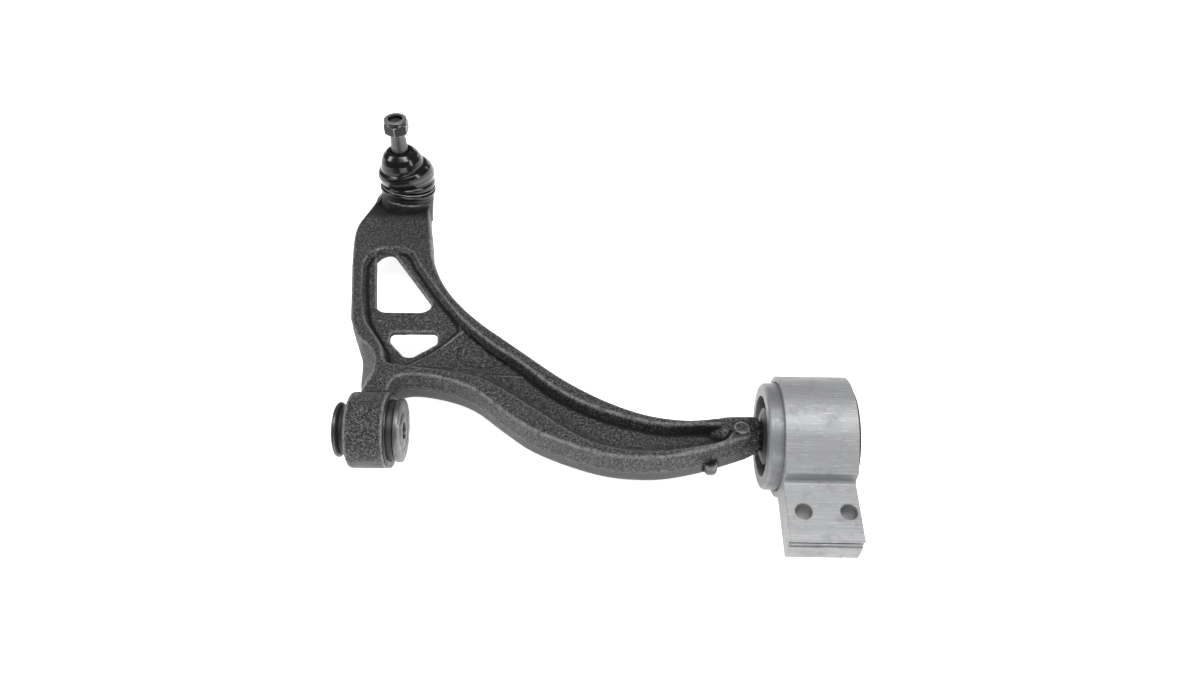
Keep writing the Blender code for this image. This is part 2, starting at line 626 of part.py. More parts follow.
def circlip(name, inner, outer, low, high, look, frame):
    """The open snap ring that holds the housing in its boss."""
    inside = arc((0, 0), inner, 100, 440, 28)
    outside = arc((0, 0), outer, 440, 100, 28)
    outline = inside + outside
    return loft(name, [at_height(outline, low), at_height(outline, high)], look, frame)


# Boot: (radius outside, place along the axis), from the stud's lip down to the base
BOOT_OUTSIDE = [
    (11.0, 62.4), (13.4, 61.4), (17.2, 57.6), (19.9, 52.6), (21.3, 47.4), (21.5, 44.6), (24.8, 42.2),
    (27.2, 38.6), (28.0, 34.0), (27.6, 29.6), (26.0, 26.8), (24.9, 25.2), (27.2, 22.0), (27.2, 18.8),
]
BOOT_BASE = [(25.8, 17.6), (25.8, 16.4), (28.5, 15.6), (28.5, 13.8)]
BOOT_INSIDE = [
    (27.15, 13.0), (25.2, 13.0), (23.8, 17.6), (24.6, 21.2), (23.0, 25.2), (24.4, 28.6), (26.3, 32.6),
    (25.4, 38.2), (22.6, 41.6), (19.0, 44.4), (17.6, 50.0), (12.2, 56.6), (12.2, 60.0),
    (STUD_SHOULDER + GAP, 60.0), (STUD_SHOULDER + GAP, 62.4),
]
# How far the rings lean over by themselves, (place along the axis, degrees about Y)
BOOT_SAG = [(18.0, 0.0), (22.0, 7.0), (27.0, 13.0), (34.0, 10.0), (44.6, 7.0), (55.0, 0.0)]
LEAN_START, LEAN_END = 22.0, 46.0


def boot_point(radius, place, angle, lean):
    """A point of the boot: its rings turn about the ball centre from the housing's axis to the stud's."""
    axis, whole = lean
    follow = min(1.0, max(0.0, (place - LEAN_START) / (LEAN_END - LEAN_START)))
    turn = Matrix.Rotation(whole * follow * follow * (3 - 2 * follow), 3, axis)
    sag = math.radians(np.interp(place, [p for p, _ in BOOT_SAG], [s for _, s in BOOT_SAG]))
    spoke = Matrix.Rotation(-sag, 3, "Y") @ Vector((radius * math.cos(angle), radius * math.sin(angle), 0.0))
    return turn @ (Vector((0.0, 0.0, place)) + spoke)


def lean_between(frame, stud_frame):
    """Axis and angle of the lean from the housing's axis to the stud's, in the housing's own frame."""
    bpy.context.view_layer.update()
    housing = frame.matrix_world.to_3x3()
    stud_axis = housing.inverted() @ (stud_frame.matrix_world.to_3x3() @ Vector((0, 0, 1)))
    own_axis = Vector((0, 0, 1))
    return own_axis.cross(stud_axis).normalized(), own_axis.angle(stud_axis)


def dust_boot(rubber, steel, frame, stud_frame, steps=28):
    lean = lean_between(frame, stud_frame)
    profile = BOOT_OUTSIDE + BOOT_BASE + BOOT_INSIDE
    rings = []
    for radius, place in profile:
        rings.append([boot_point(radius, place, math.tau * step / steps, lean) for step in range(steps)])
    loft("dust_boot", rings, rubber, frame, closed=True)
    lower = [(25.8 + GAP + r * 0.9 + 0.9, 17.0 + z * 0.5) for r, z in ((-1, -1), (1, -1), (1, 1), (-1, 1))]
    turned("boot_lower_ring", lower, steel, frame, steps=36)
    inside = STUD_SHOULDER + GAP
    upper = [(inside, 57.0), (12.2 - GAP, 57.0), (12.2 - GAP, 60.0 - GAP), (inside, 60.0 - GAP)]
    turned("boot_upper_ring", upper, steel, stud_frame, steps=28)


def main():
    clear_scene()
    iron = material("coated_iron", (0.022, 0.023, 0.025), 0.42, 0.35)
    aluminium = material("extruded_aluminium", (0.52, 0.53, 0.54), 0.38, 0.9)
    can_metal = material("bush_can", (0.34, 0.35, 0.36), 0.45, 0.8)
    core_metal = material("core_aluminium", (0.55, 0.56, 0.57), 0.35, 0.9)
    steel = material("plain_steel", (0.20, 0.205, 0.215), 0.38, 0.9)
    plated = material("disc_steel", (0.13, 0.135, 0.145), 0.42, 0.8)
    dark_steel = material("phosphate_steel", (0.05, 0.051, 0.054), 0.4, 0.7)
    rubber = material("black_rubber", (0.012, 0.012, 0.013), 0.5)
    boot_rubber = material("boot_rubber", (0.008, 0.008, 0.009), 0.22)
    plastic = material("seat_plastic", (0.72, 0.70, 0.62), 0.45)

    rear_frame = empty("rear_bush_frame", (-HOLE_SHIFT, PIVOT_Y, PIVOT_Z))
    arm_frame = empty("arm_frame", (-HOLE_SHIFT - BUSH_SPAN, PIVOT_Y, PIVOT_Z), -ARM_SLOPE)
    pin_frame = empty("rear_pin_frame", (-HOLE_SHIFT, PIVOT_Y, PIVOT_Z))
    ball_frame = empty("ball_housing_frame", BALL, -HOUSING_LEAN_Y, HOUSING_LEAN_X, arm_frame)
    stud_frame = empty("ball_stud_frame", BALL, -STUD_LEAN_Y, 0.0, arm_frame)

    arm_casting(iron, arm_frame, ball_frame)
    front_bush(steel, rubber, plated, arm_frame)
    rear_bracket(aluminium, rear_frame)
    rear_bush(can_metal, rubber, core_metal, dark_steel, rear_frame, pin_frame)
    ball_joint(steel, plastic, dark_steel, ball_frame, stud_frame)
    dust_boot(boot_rubber, dark_steel, ball_frame, stud_frame)


main()
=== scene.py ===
"""Front lower control arm of a car: the pieces as they look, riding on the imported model's bodies.

Frame: the origin is the centre of the rear bracket's mounting face, +X runs along the pivot axis from the
front bush to the rear bush, +Y points outboard to the ball joint and +Z is up. Lengths in this file are
millimetres unless a name ends in _M; MM turns them into Blender's metres.
"""

import math

import bmesh
import bpy
import numpy as np
from mathutils import Euler, Matrix, Vector

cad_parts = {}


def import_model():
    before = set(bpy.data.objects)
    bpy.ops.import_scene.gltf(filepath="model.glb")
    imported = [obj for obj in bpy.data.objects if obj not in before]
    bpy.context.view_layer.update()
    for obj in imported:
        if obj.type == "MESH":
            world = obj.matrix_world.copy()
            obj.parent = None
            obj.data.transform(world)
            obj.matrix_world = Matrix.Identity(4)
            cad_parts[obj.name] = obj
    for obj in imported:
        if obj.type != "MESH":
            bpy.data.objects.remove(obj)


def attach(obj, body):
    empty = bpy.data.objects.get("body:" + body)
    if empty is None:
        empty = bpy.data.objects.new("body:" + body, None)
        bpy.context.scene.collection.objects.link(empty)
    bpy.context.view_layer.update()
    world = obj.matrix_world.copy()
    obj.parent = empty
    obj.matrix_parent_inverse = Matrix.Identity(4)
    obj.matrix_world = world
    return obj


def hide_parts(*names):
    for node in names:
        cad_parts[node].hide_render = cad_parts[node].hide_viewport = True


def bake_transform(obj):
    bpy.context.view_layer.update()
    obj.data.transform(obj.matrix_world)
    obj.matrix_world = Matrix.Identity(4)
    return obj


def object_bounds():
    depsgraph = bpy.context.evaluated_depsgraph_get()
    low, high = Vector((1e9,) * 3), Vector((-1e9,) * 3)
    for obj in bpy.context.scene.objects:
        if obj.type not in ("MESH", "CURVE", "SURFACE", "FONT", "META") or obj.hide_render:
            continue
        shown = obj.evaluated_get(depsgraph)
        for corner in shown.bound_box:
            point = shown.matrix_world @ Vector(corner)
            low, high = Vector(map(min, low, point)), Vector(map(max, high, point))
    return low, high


MM = 0.001
GAP = 0.3  # between two pieces that touch on the real object
CUT, JOIN = "DIFFERENCE", "UNION"

# Where the pivot axis runs, and how the arm and the ball joint lean
PIVOT_Y = 76.7
PIVOT_Z = -13.0
HOLE_SHIFT = 2.0
BUSH_SPAN = 370.0
ARM_SLOPE = 7.0
BALL = (-12.0, 299.6, 15.0)
HOUSING_LEAN_Y = 10.0
HOUSING_LEAN_X = 8.0
STUD_LEAN_Y = 1.0

# Casting
RIM_HALF = 16.5
EDGE = 2.2  # rounding of the rims' upper edges
EDGE_UNDER = 4.0
FLOOR = 5.5  # height of the channel's floor above the middle plane
POCKET_FLOOR = 3.6  # height of the deeper floor around the windows
UNDER_FLOOR = -2.0  # height of the web's underside
LIFT = 6.0  # how much higher the web lies beside the upper window
LIFT_START, LIFT_END = 80.0, 150.0
LIFT_SLOPE = 0.02  # and how much it still rises further out
CLIMB_STEPS = 14
WALL_HEIGHT = 9.5  # points of a cutter nearer the middle plane than this belong to its floor
TEARDROP_DEPTH = 0.9
EYE_RADIUS = 32.0
EYE_LEFT, EYE_RIGHT = -15.0, 17.6
EYE_BORE = 28.0
NECK_RADIUS = 16.0
NECK_START, NECK_END = 286.0, 326.7
PIN_RADIUS = 12.0
PIN_END = 388.5
PIN_THREAD_RADIUS = 7.0
PIN_THREAD_END = 401.0
BOSS_RADIUS = 26.9
BOSS_TOP, BOSS_BOTTOM = 8.0, -22.0
BOSS_BORE = 23.3
VOXEL = 0.8  # grid on which the casting's skin is rebuilt
SOFTENING_PASSES = 4
RELIEF_PASSES = 16  # how widely the skin is evened out to tell its edges from its crevices
FLASH_HEIGHT = 0.35  # of the line that the mould's parting leaves round the walls
FLASH_HALF_WIDTH = 0.9

# Front bush
BOLT_RADIUS = 7.25
SLEEVE_RADIUS = 13.0
SLEEVE_LEFT, SLEEVE_RIGHT = -27.5, 29.3

# Rear bush and bracket
RING_RADIUS = 50.6
RING_BORE = 45.0
BRACKET_WIDTH = 58.0
FOOT_TOP = 13.0
FOOT_THICKNESS = 28.6
FOOT_NEAR, FOOT_FAR = -50.1, -102.6
HOLE_RADIUS = 6.75
HOLE_SPACING = 35.5
CAN_RADIUS = RING_BORE - GAP
CAN_LEFT = -41.0
FLANGE_WIDTH = 10.8  # flat end of the can
CAN_WALL = 2.2

# Ball joint
BALL_RADIUS = 16.0
SEAT_RADIUS = 19.0
STUD_NECK = 7.5
STUD_SHOULDER = 9.1
TAPER_START, TAPER_END = 55.0, 83.0
THREAD_RADIUS = 7.0
THREAD_PITCH = 1.5
THREAD_DEPTH = 0.85
STUD_END = 95.0
NUT_FLATS = 22.0
NUT_TOP = 98.0
COLLAR_RADIUS = 11.2

FINE = 128  # steps round a large turned piece
MEDIUM = 96
SHARP_ANGLE = 32.0  # degrees between two faces whose edge stays sharp


def placed(place, lean_x=0.0, lean_y=0.0):
    """A frame of reference, in millimetres: moved to place and turned about X and Y, in degrees."""
    turn = Euler((math.radians(lean_x), math.radians(lean_y), 0.0)).to_matrix().to_4x4()
    return Matrix.Translation(Vector(place)) @ turn


REAR_FRAME = placed((-HOLE_SHIFT, PIVOT_Y, PIVOT_Z))
ARM_FRAME = placed((-HOLE_SHIFT - BUSH_SPAN, PIVOT_Y, PIVOT_Z), -ARM_SLOPE)
HOUSING_FRAME = ARM_FRAME @ placed(BALL, -HOUSING_LEAN_Y, HOUSING_LEAN_X)
STUD_FRAME = ARM_FRAME @ placed(BALL, -STUD_LEAN_Y)

# ---- Outlines ----


def spline(points, per_span=8):
    """Points along the Catmull-Rom curve through the given ones."""
    spots = [Vector(p) for p in points]
    spots = [2 * spots[0] - spots[1]] + spots + [2 * spots[-1] - spots[-2]]
    found = []
    for a, b, c, d in zip(spots, spots[1:], spots[2:], spots[3:]):
        for step in range(per_span):
            t = step / per_span
            bend = 2 * b + (c - a) * t + (2 * a - 5 * b + 4 * c - d) * t**2 + (3 * b - a - 3 * c + d) * t**3
            found.append(bend / 2)
    return found + [spots[-2]]


def arc(centre, radius, first, last, steps):
    """Points on a circle, from one angle to another, in degrees."""
    found = []
    for step in range(steps + 1):
        angle = math.radians(first + (last - first) * step / steps)
        found.append(Vector((centre[0] + radius * math.cos(angle), centre[1] + radius * math.sin(angle))))
    return found


def rounded(corners, steps=5, radius=0.0):
    """A closed outline from (x, y) or (x, y, radius) corners, each rounded by its own arc."""
    found = []
    count = len(corners)
    for i, corner in enumerate(corners):
        here = Vector(corner[:2])
        size = corner[2] if len(corner) > 2 else radius
        to_back = Vector(corners[i - 1][:2]) - here
        to_ahead = Vector(corners[(i + 1) % count][:2]) - here
        back, ahead = to_back.normalized(), to_ahead.normalized()
        half = back.angle(ahead) / 2
        if size <= 0 or half > math.radians(89):
            found.append(here)
            continue
        size = min(size, 0.45 * min(to_back.length, to_ahead.length) * math.tan(half))
        reach = size / math.tan(half)
        centre = here + (back + ahead).normalized() * (size / math.sin(half))
        start = here + back * reach - centre
        turn = start.angle_signed(here + ahead * reach - centre)
        first = math.degrees(math.atan2(start.y, start.x))
        found += arc(centre, size, first, first - math.degrees(turn), steps)
    return found


def inset(outline, distance):
    """The outline moved inward by distance: each point slides along its own normal."""
    area = sum(a.x * b.y - b.x * a.y for a, b in zip(outline, outline[1:] + outline[:1]))
    turn = 1.0 if area > 0 else -1.0
    found = []
    for before, here, after in zip(outline[-1:] + outline[:-1], outline, outline[1:] + outline[:1]):
        first = (here - before).normalized()
        second = (after - here).normalized()
        along = (first + second).normalized()
        normal = Vector((-along.y, along.x)) * turn
        found.append(here + normal * distance / max(0.5, first.dot(along)))
    return found


def between(first, second, share):
    """The outline part of the way from one outline to another of equally many points."""
    return [a.lerp(b, share) for a, b in zip(first, second)]


def eased(value, start, end):
    """0 up to start, 1 from end on and a smooth climb between them."""
    share = min(1.0, max(0.0, (value - start) / (end - start)))
    return share * share * (3 - 2 * share)


def at_height(outline, height):
    return [(point.x, point.y, height) for point in outline]


# ---- Solids ----


def loft(rings, closed=False, bend=None):
    """A solid through rings of equally many points, capped at both ends or, if closed, joined up."""
    made = bmesh.new()
    rows = [[made.verts.new(point) for point in ring] for ring in rings]
    count = len(rows[0])
    pairs = list(zip(rows, rows[1:] + rows[:1])) if closed else list(zip(rows, rows[1:]))
    for low, high in pairs:
        for i in range(count):
            j = (i + 1) % count
            made.faces.new((low[i], low[j], high[j], high[i]))
    if not closed:
        made.faces.new(rows[0])
        made.faces.new(rows[-1])
    if bend:
        bend(made)
    return made


def turned(profile, along="Z", steps=FINE, centre=(0, 0, 0)):
    """A turned solid: profile is a closed loop of (radius, place along the axis)."""
    made = bmesh.new()
    points = [made.verts.new((max(0.0, p[0]), 0.0, p[1])) for p in profile]
    edges = []
    for first, second in zip(points, points[1:] + points[:1]):
        if first.co.x > 0 or second.co.x > 0:
            edges.append(made.edges.new((first, second)))
    bmesh.ops.spin(
        made, geom=points + edges, cent=(0, 0, 0), axis=(0, 0, 1), dvec=(0, 0, 0),
        angle=math.tau, steps=steps, use_merge=True,
    )
    if along == "X":
        bmesh.ops.rotate(made, verts=made.verts, matrix=Matrix.Rotation(math.pi / 2, 3, "Y"))
    bmesh.ops.translate(made, verts=made.verts, vec=centre)
    return made


def round_ring(radius_at, place, steps, along="Z"):
    """Points round the axis at one place along it; radius_at gives the radius at each angle."""
    found = []
    for step in range(steps):
        angle = math.tau * step / steps
        radius = radius_at(angle)
        across, up = radius * math.cos(angle), radius * math.sin(angle)
        found.append((place, across, up) if along == "X" else (across, up, place))
    return found


def surface(radius_at, places, steps, along="Z", bore=None):
    """A solid whose radius is given by a function of place and angle; bore makes it a tube."""
    rings = [round_ring(lambda angle: radius_at(place, angle), place, steps, along) for place in places]
    if bore is not None:
        rings += [round_ring(lambda _: bore, place, steps, along) for place in (places[-1], places[0])]
    return loft(rings, closed=bore is not None)


def add_object(name, data):
    found = bpy.data.objects.new(name, data)
    bpy.context.scene.collection.objects.link(found)
    return found


def mark_sharp(mesh, angle):
    mesh.shade_smooth()
    mesh.set_sharp_from_angle(angle=math.radians(angle))


def new_object(name, made, frame, sharp=SHARP_ANGLE):
    """An object from a bmesh in millimetres, with its mesh in the row frame and its sharp edges kept."""
    bmesh.ops.remove_doubles(made, verts=made.verts, dist=1e-4)
    bmesh.ops.recalc_face_normals(made, faces=made.faces)
    bmesh.ops.transform(made, verts=made.verts, matrix=Matrix.Scale(MM, 4) @ frame)
    mesh = bpy.data.meshes.new(name)
    made.to_mesh(mesh)
    made.free()
    mark_sharp(mesh, sharp)
    return add_object(name, mesh)


def apply_modifiers(target):
    graph = bpy.context.evaluated_depsgraph_get()
    mesh = bpy.data.meshes.new_from_object(target.evaluated_get(graph))
    target.modifiers.clear()
    old = target.data
    target.data = mesh
    bpy.data.meshes.remove(old)


def carve(target, frame_steps):
    """Runs the (operation, solid, frame) steps on target, each solid a bmesh."""
    tools = [new_object("tool", made, frame) for _, made, frame in frame_steps]
    for (operation, _, _), tool in zip(frame_steps, tools):
        step = target.modifiers.new("step", "BOOLEAN")
        step.operation = operation
        step.object = tool
    apply_modifiers(target)
    for tool in tools:
        bpy.data.meshes.remove(tool.data)


def show(target, look, body, slot, node):
    """Gives the piece its material, and lets it stand for its CAD node on its body."""
    target.data.materials.clear()
    target.data.materials.append(look)
    if body:
        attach(target, body)
    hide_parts(node)


def add_piece(name, made, frame, *fitting):
    """A piece from a bmesh; fitting is its material, its body, its slot (not used) and its CAD node."""
    show(new_object(name, made, frame), *fitting)


# ---- Materials ----


# Near black: the dark specks of the cast grain, and the colour of painted shade in hollows and crevices.
NEAR_BLACK = (0.001, 0.001, 0.001)


class Look:
    """A Principled material to which patterns are added one after another."""

    def __init__(self, name, colour, roughness, metallic=0.0, frame=None, **sockets):
        self.material = bpy.data.materials.new(name)
        self.material.use_nodes = True
        self.tree = self.material.node_tree
        self.shader = self.tree.nodes["Principled BSDF"]
        self.colour = (*colour, 1.0)
        self.rough = roughness
        self.normal = None
        sockets.update(Metallic=metallic, Roughness=roughness, Base_Color=self.colour)
        for socket, value in sockets.items():
            self.shader.inputs[socket.replace("_", " ")].default_value = value
        self.place = self.coordinates(frame or Matrix.Identity(4))

    def node(self, kind, output, inputs=None, **settings):
        """An output of a new node; each of its inputs is a number, a colour or another node's output."""
        made = self.tree.nodes.new("ShaderNode" + kind)
        for key, value in settings.items():
            setattr(made, key, value)
        for key, value in (inputs or {}).items():
            if isinstance(value, bpy.types.NodeSocket):
                self.tree.links.new(value, made.inputs[key])
            else:
                made.inputs[key].default_value = value
        return made.outputs[output]

    def drive(self, socket, output):
        self.tree.links.new(output, self.shader.inputs[socket])
        return output

    def coordinates(self, frame):
        """Places in millimetres, in the given frame."""
        back = frame.inverted()
        inputs = {
            "Vector": self.node("TexCoord", "Object"),
            "Location": back.to_translation(),
            "Rotation": back.to_euler(),
            "Scale": (1 / MM, 1 / MM, 1 / MM),
        }
        return self.node("Mapping", "Vector", inputs, vector_type="POINT")

    def stretched(self, *factors):
        return self.node("VectorMath", "Vector", {0: self.place, 1: factors}, operation="MULTIPLY")

    def noise(self, size, detail=3.0, roughness=0.55, at=None):
        """A cloudy pattern whose blobs are about size millimetres across."""
        inputs = {"Vector": at or self.place, "Scale": 1.0 / size, "Detail": detail, "Roughness": roughness}
        return self.node("TexNoise", "Fac", inputs)

    def cells(self, size):
        return self.node("TexVoronoi", "Distance", {"Vector": self.place, "Scale": 1.0 / size})

    def ramp(self, value, low, high, start=0.0, end=1.0):
        """value, spread so that low gives start and high gives end."""
        inputs = {"Value": value, "From Min": low, "From Max": high, "To Min": start, "To Max": end}
        return self.node("MapRange", "Result", inputs, clamp=True, interpolation_type="SMOOTHSTEP")

    def times(self, first, second):
        return self.node("Math", "Value", {0: first, 1: second}, operation="MULTIPLY")

    def along(self, axis):
        return self.node("SeparateXYZ", axis, {"Vector": self.place})

    def lathe_lines(self, pitch, axis):
        """Fine turning marks: they change with radius and with place along the axis only."""
        across = self.stretched(0.0, 1.0, 1.0) if axis == "X" else self.stretched(1.0, 1.0, 0.0)
        radius = self.node("VectorMath", "Value", {0: across}, operation="LENGTH")
        joined = self.node("CombineXYZ", "Vector", {"X": radius, "Y": self.along(axis)})
        return self.noise(pitch, 2.0, 0.6, at=joined)

    def edges(self, low, high):
        """1 on outer edges and 0 on flat and hollow places."""
        return self.ramp(self.node("NewGeometry", "Pointiness"), low, high)

    def attribute(self, name):
        """A number stored at each point of the mesh."""
        return self.node("Attribute", "Fac", attribute_name=name)

    def hollows(self, reach, low, high, alone=True):
        """1 where the surface is closed in within reach millimetres, 0 where it lies open."""
        inputs = {"Distance": reach * MM}
        open_share = self.node("AmbientOcclusion", "AO", inputs, samples=8, only_local=alone)
        return self.ramp(open_share, low, high)

    def tint(self, mask, colour, amount):
        """Mixes colour in where mask is 1."""
        inputs = {0: self.times(mask, amount), 6: self.colour, 7: (*colour, 1.0)}
        self.colour = self.drive("Base Color", self.node("Mix", 2, inputs, data_type="RGBA"))

    def roughen(self, mask, by):
        """Adds by to the roughness where mask is 1."""
        inputs = {0: mask, 1: by, 2: self.rough}
        made = self.node("Math", "Value", inputs, operation="MULTIPLY_ADD", use_clamp=True)
        self.rough = self.drive("Roughness", made)

    def bump(self, mask, height, strength):
        """Raises the surface by height millimetres where mask is 1."""
        inputs = {"Height": mask, "Strength": strength, "Distance": height * MM}
        if self.normal:
            inputs["Normal"] = self.normal
        self.normal = self.drive("Normal", self.node("Bump", "Normal", inputs))

    def cloud(self, noise, low, high, colour, amount, dulling):
        """Clouds of another colour and gloss; noise is their size, detail and roughness."""
        mask = self.ramp(self.noise(*noise), low, high)
        self.tint(mask, colour, amount)
        self.roughen(mask, dulling)


def coated_iron():
    """Black electrocoat over sand-cast iron: coarse grain, painted shade in the crevices, hollows and round
    the ball joint, edges greyer from wear and painted highlight, lower walls lighter by painted light from
    below.
    """
    look = Look("coated_iron", (0.015, 0.0153, 0.0163), 0.42, frame=ARM_FRAME, Specular_IOR_Level=0.34)
    grain = look.noise(1.8, 2.0, 0.75)
    fine = look.noise(1.1, 2.0, 0.6)
    relief = look.attribute("relief")
    x, y, z = look.along("X"), look.along("Y"), look.along("Z")
    broad = look.ramp(look.noise(38.0, 4.0), 0.35, 0.65)
    # Greyer, glossier ridges away from the ball joint: partly worn coat, partly painted edge highlight.
    worn_and_highlit = look.times(look.ramp(relief, 0.08, 0.34), look.ramp(y, 284.0, 277.0))
    edge = look.times(worn_and_highlit, look.ramp(look.noise(5.0, 4.0, 0.7), 0.35, 0.6, 0.35, 1.0))
    # Painted shade: near black in the creases, where the skin lies below its evened-out level.
    crevice = look.ramp(relief, -0.03, -0.22)
    # Painted shade: near black wherever the surface is closed in within 24 mm, as in the channel's corners.
    hollow = look.hollows(24.0, 0.78, 0.50)
    rear_end = look.ramp(x, 316.0, 318.5)
    above = look.ramp(z, -5.0, -1.0, 0.2, 1.0)
    tints = (
        (broad, (0.020, 0.0205, 0.022), 0.6),
        # Painted light: the walls below the parting line lighter, as if lit by the floor from below.
        (look.ramp(z, -1.0, -5.0), (0.055, 0.056, 0.058), 0.6),
        (look.times(above, look.ramp(grain, 0.52, 0.62)), (0.12, 0.121, 0.124), 0.75),
        (look.times(above, look.ramp(grain, 0.48, 0.40)), NEAR_BLACK, 0.9),
        (look.times(above, look.ramp(fine, 0.58, 0.68)), (0.24, 0.242, 0.246), 0.7),
        # Painted shade: near black from y 262 on, round the ball joint's boss beneath the boot.
        (look.ramp(y, 262.0, 275.0), (0.0015, 0.0015, 0.0015), 0.9),
        # Painted shade in the hollows and creases, then worn edges with painted highlight:
        (hollow, NEAR_BLACK, 0.95),
        (crevice, NEAR_BLACK, 0.95),
        (edge, (0.20, 0.202, 0.206), 0.8),
        (rear_end, (0.002, 0.002, 0.002), 0.95),
        (look.times(rear_end, look.ramp(fine, 0.55, 0.62)), (0.22, 0.222, 0.226), 0.8),
    )
    for mask, colour, amount in tints:
        look.tint(mask, colour, amount)
    look.roughen(look.ramp(look.noise(9.0, 4.0), 0.3, 0.7), 0.10)
    for mask, by in ((edge, -0.10), (hollow, 0.4), (crevice, 0.4)):
        look.roughen(mask, by)
    bumps = (
        (look.noise(14.0, 2.0), 0.55, 0.6),
        (look.ramp(look.cells(2.6), 0.05, 0.32), 0.25, 0.7),
        (look.times(above, grain), 1.5, 1.0),
        (look.times(above, fine), 0.5, 1.0),
        (look.times(rear_end, look.noise(2.2, 3.0, 0.7)), 2.5, 1.0),
    )
    for mask, height, strength in bumps:
        look.bump(mask, height, strength)
    return look.material


def extruded_aluminium():
    """Mill-finish extrusion: lines along X, darker smudges, a few handling scratches and painted shade in the
    grooves.
    """
    look = Look("extruded_aluminium", (0.26, 0.263, 0.268), 0.48, 0.4, frame=REAR_FRAME)
    lines = look.noise(0.9, 3.0, 0.6, at=look.stretched(0.02, 1.0, 1.0))
    wide_lines = look.noise(4.5, 3.0, 0.5, at=look.stretched(0.03, 1.0, 1.0))
    grain = look.noise(1.4, 4.0, 0.7)
    scratch = look.ramp(look.noise(1.0, 1.0, at=look.stretched(0.09, 1.0, 0.3)), 0.67, 0.72)
    look.tint(look.ramp(wide_lines, 0.40, 0.62), (0.22, 0.223, 0.228), 0.35)
    look.tint(look.ramp(lines, 0.50, 0.66), (0.38, 0.385, 0.39), 0.35)
    look.tint(look.ramp(lines, 0.45, 0.34), (0.18, 0.183, 0.187), 0.3)
    look.tint(look.ramp(grain, 0.55, 0.66), (0.17, 0.173, 0.177), 0.35)
    look.cloud((15.0, 6.0, 0.7), 0.50, 0.68, (0.17, 0.172, 0.177), 0.4, 0.12)
    look.tint(scratch, (0.60, 0.60, 0.61), 0.3)
    # Painted shade: darker where the surface is closed in within 5 mm, in the grooves and corners.
    look.tint(look.hollows(5.0, 0.85, 0.5), (0.03, 0.03, 0.031), 0.8)
    look.roughen(look.ramp(lines, 0.3, 0.7), 0.08)
    look.bump(lines, 0.03, 0.5)
    look.bump(wide_lines, 0.05, 0.4)
    look.bump(grain, 0.05, 0.5)
    return look.material


def shades(colour, gain, lift=0.0, most=1.0):
    """A paler or darker shade of the colour."""
    return tuple(min(most, gain * channel + lift) for channel in colour)


def turned_steel(name, colour, roughness, frame, axis="Z", metallic=0.9):
    """Machined steel or aluminium: fine turning marks, a broad stain and paler edges, partly bare metal,
    partly painted highlight.
    """
    look = Look(name, colour, roughness, metallic, frame)
    marks = look.lathe_lines(0.55, axis)
    look.cloud((7.0, 4.0, 0.6), 0.4, 0.7, shades(colour, 0.55), 0.35, 0.12)
    look.tint(look.ramp(marks, 0.5, 0.75), shades(colour, 1.5, 0.03), 0.3)
    # Paler edges: partly bare metal, partly painted highlight.
    look.tint(look.edges(0.51, 0.56), shades(colour, 2.5, 0.1, 0.9), 0.6)
    look.bump(marks, 0.03, 0.5)
    look.bump(look.noise(0.8, 2.0), 0.02, 0.4)
    return look.material


def phosphated_steel(name, colour, roughness, frame):
    """Dark phosphate: a matt crystal grain, rubbed paler here and there, painted highlight on the edges and
    painted shade in the hollows.
    """
    look = Look(name, colour, roughness, 0.75, frame)
    grain = look.noise(0.45, 3.0, 0.7)
    look.cloud((3.6, 4.0, 0.65), 0.52, 0.7, shades(colour, 2.2), 0.5, -0.08)
    # Painted highlight: paler along the edges.
    look.tint(look.edges(0.51, 0.56), (0.42, 0.42, 0.43), 0.75)
    # Painted shade: near black where the surface is closed in within 7 mm.
    look.tint(look.hollows(7.0, 0.9, 0.6, alone=False), (0.002, 0.002, 0.002), 0.95)
    look.roughen(look.ramp(grain, 0.3, 0.7), 0.08)
    look.bump(grain, 0.035, 0.6)
    return look.material


def bush_rubber():
    """Moulded rubber of the bushes: matt, with a faint bloom and painted shade in its hollows."""
    look = Look("bush_rubber", (0.014, 0.014, 0.0145), 0.52)
    look.cloud((6.0, 5.0, 0.65), 0.45, 0.75, (0.05, 0.049, 0.047), 0.4, 0.15)
    # Painted shade: near black where the surface is closed in within 25 mm.
    look.tint(look.hollows(25.0, 0.6, 0.3, alone=False), NEAR_BLACK, 0.95)
    look.bump(look.noise(0.7), 0.05, 0.6)
    look.bump(look.noise(4.0, 2.0), 0.1, 0.4)
    return look.material


def rim_rubber():
    """Black rim with a coarse grain."""
    look = Look("rim_rubber", (0.010, 0.010, 0.0105), 0.55)
    grain = look.noise(1.3, 3.0, 0.7)
    look.tint(look.ramp(grain, 0.55, 0.75), (0.05, 0.05, 0.051), 0.6)
    look.roughen(grain, 0.15)
    look.bump(grain, 0.35, 0.8)
    return look.material


def boot_rubber():
    """Smooth glossy moulded rubber with a faint film of dust and painted highlights along its sharp ridges.
    """
    look = Look("boot_rubber", (0.003, 0.003, 0.0032), 0.17, frame=HOUSING_FRAME, Specular_IOR_Level=0.42)
    look.cloud((9.0, 4.0, 0.6), 0.45, 0.75, (0.010, 0.010, 0.0105), 0.5, 0.07)
    # Painted highlight: paler along the sharp ridges and rims.
    look.tint(look.edges(0.53, 0.62), (0.12, 0.12, 0.122), 0.6)
    look.bump(look.noise(3.5, 2.0), 0.06, 0.35)
    look.bump(look.noise(0.6, 2.0), 0.012, 0.4)
    return look.material


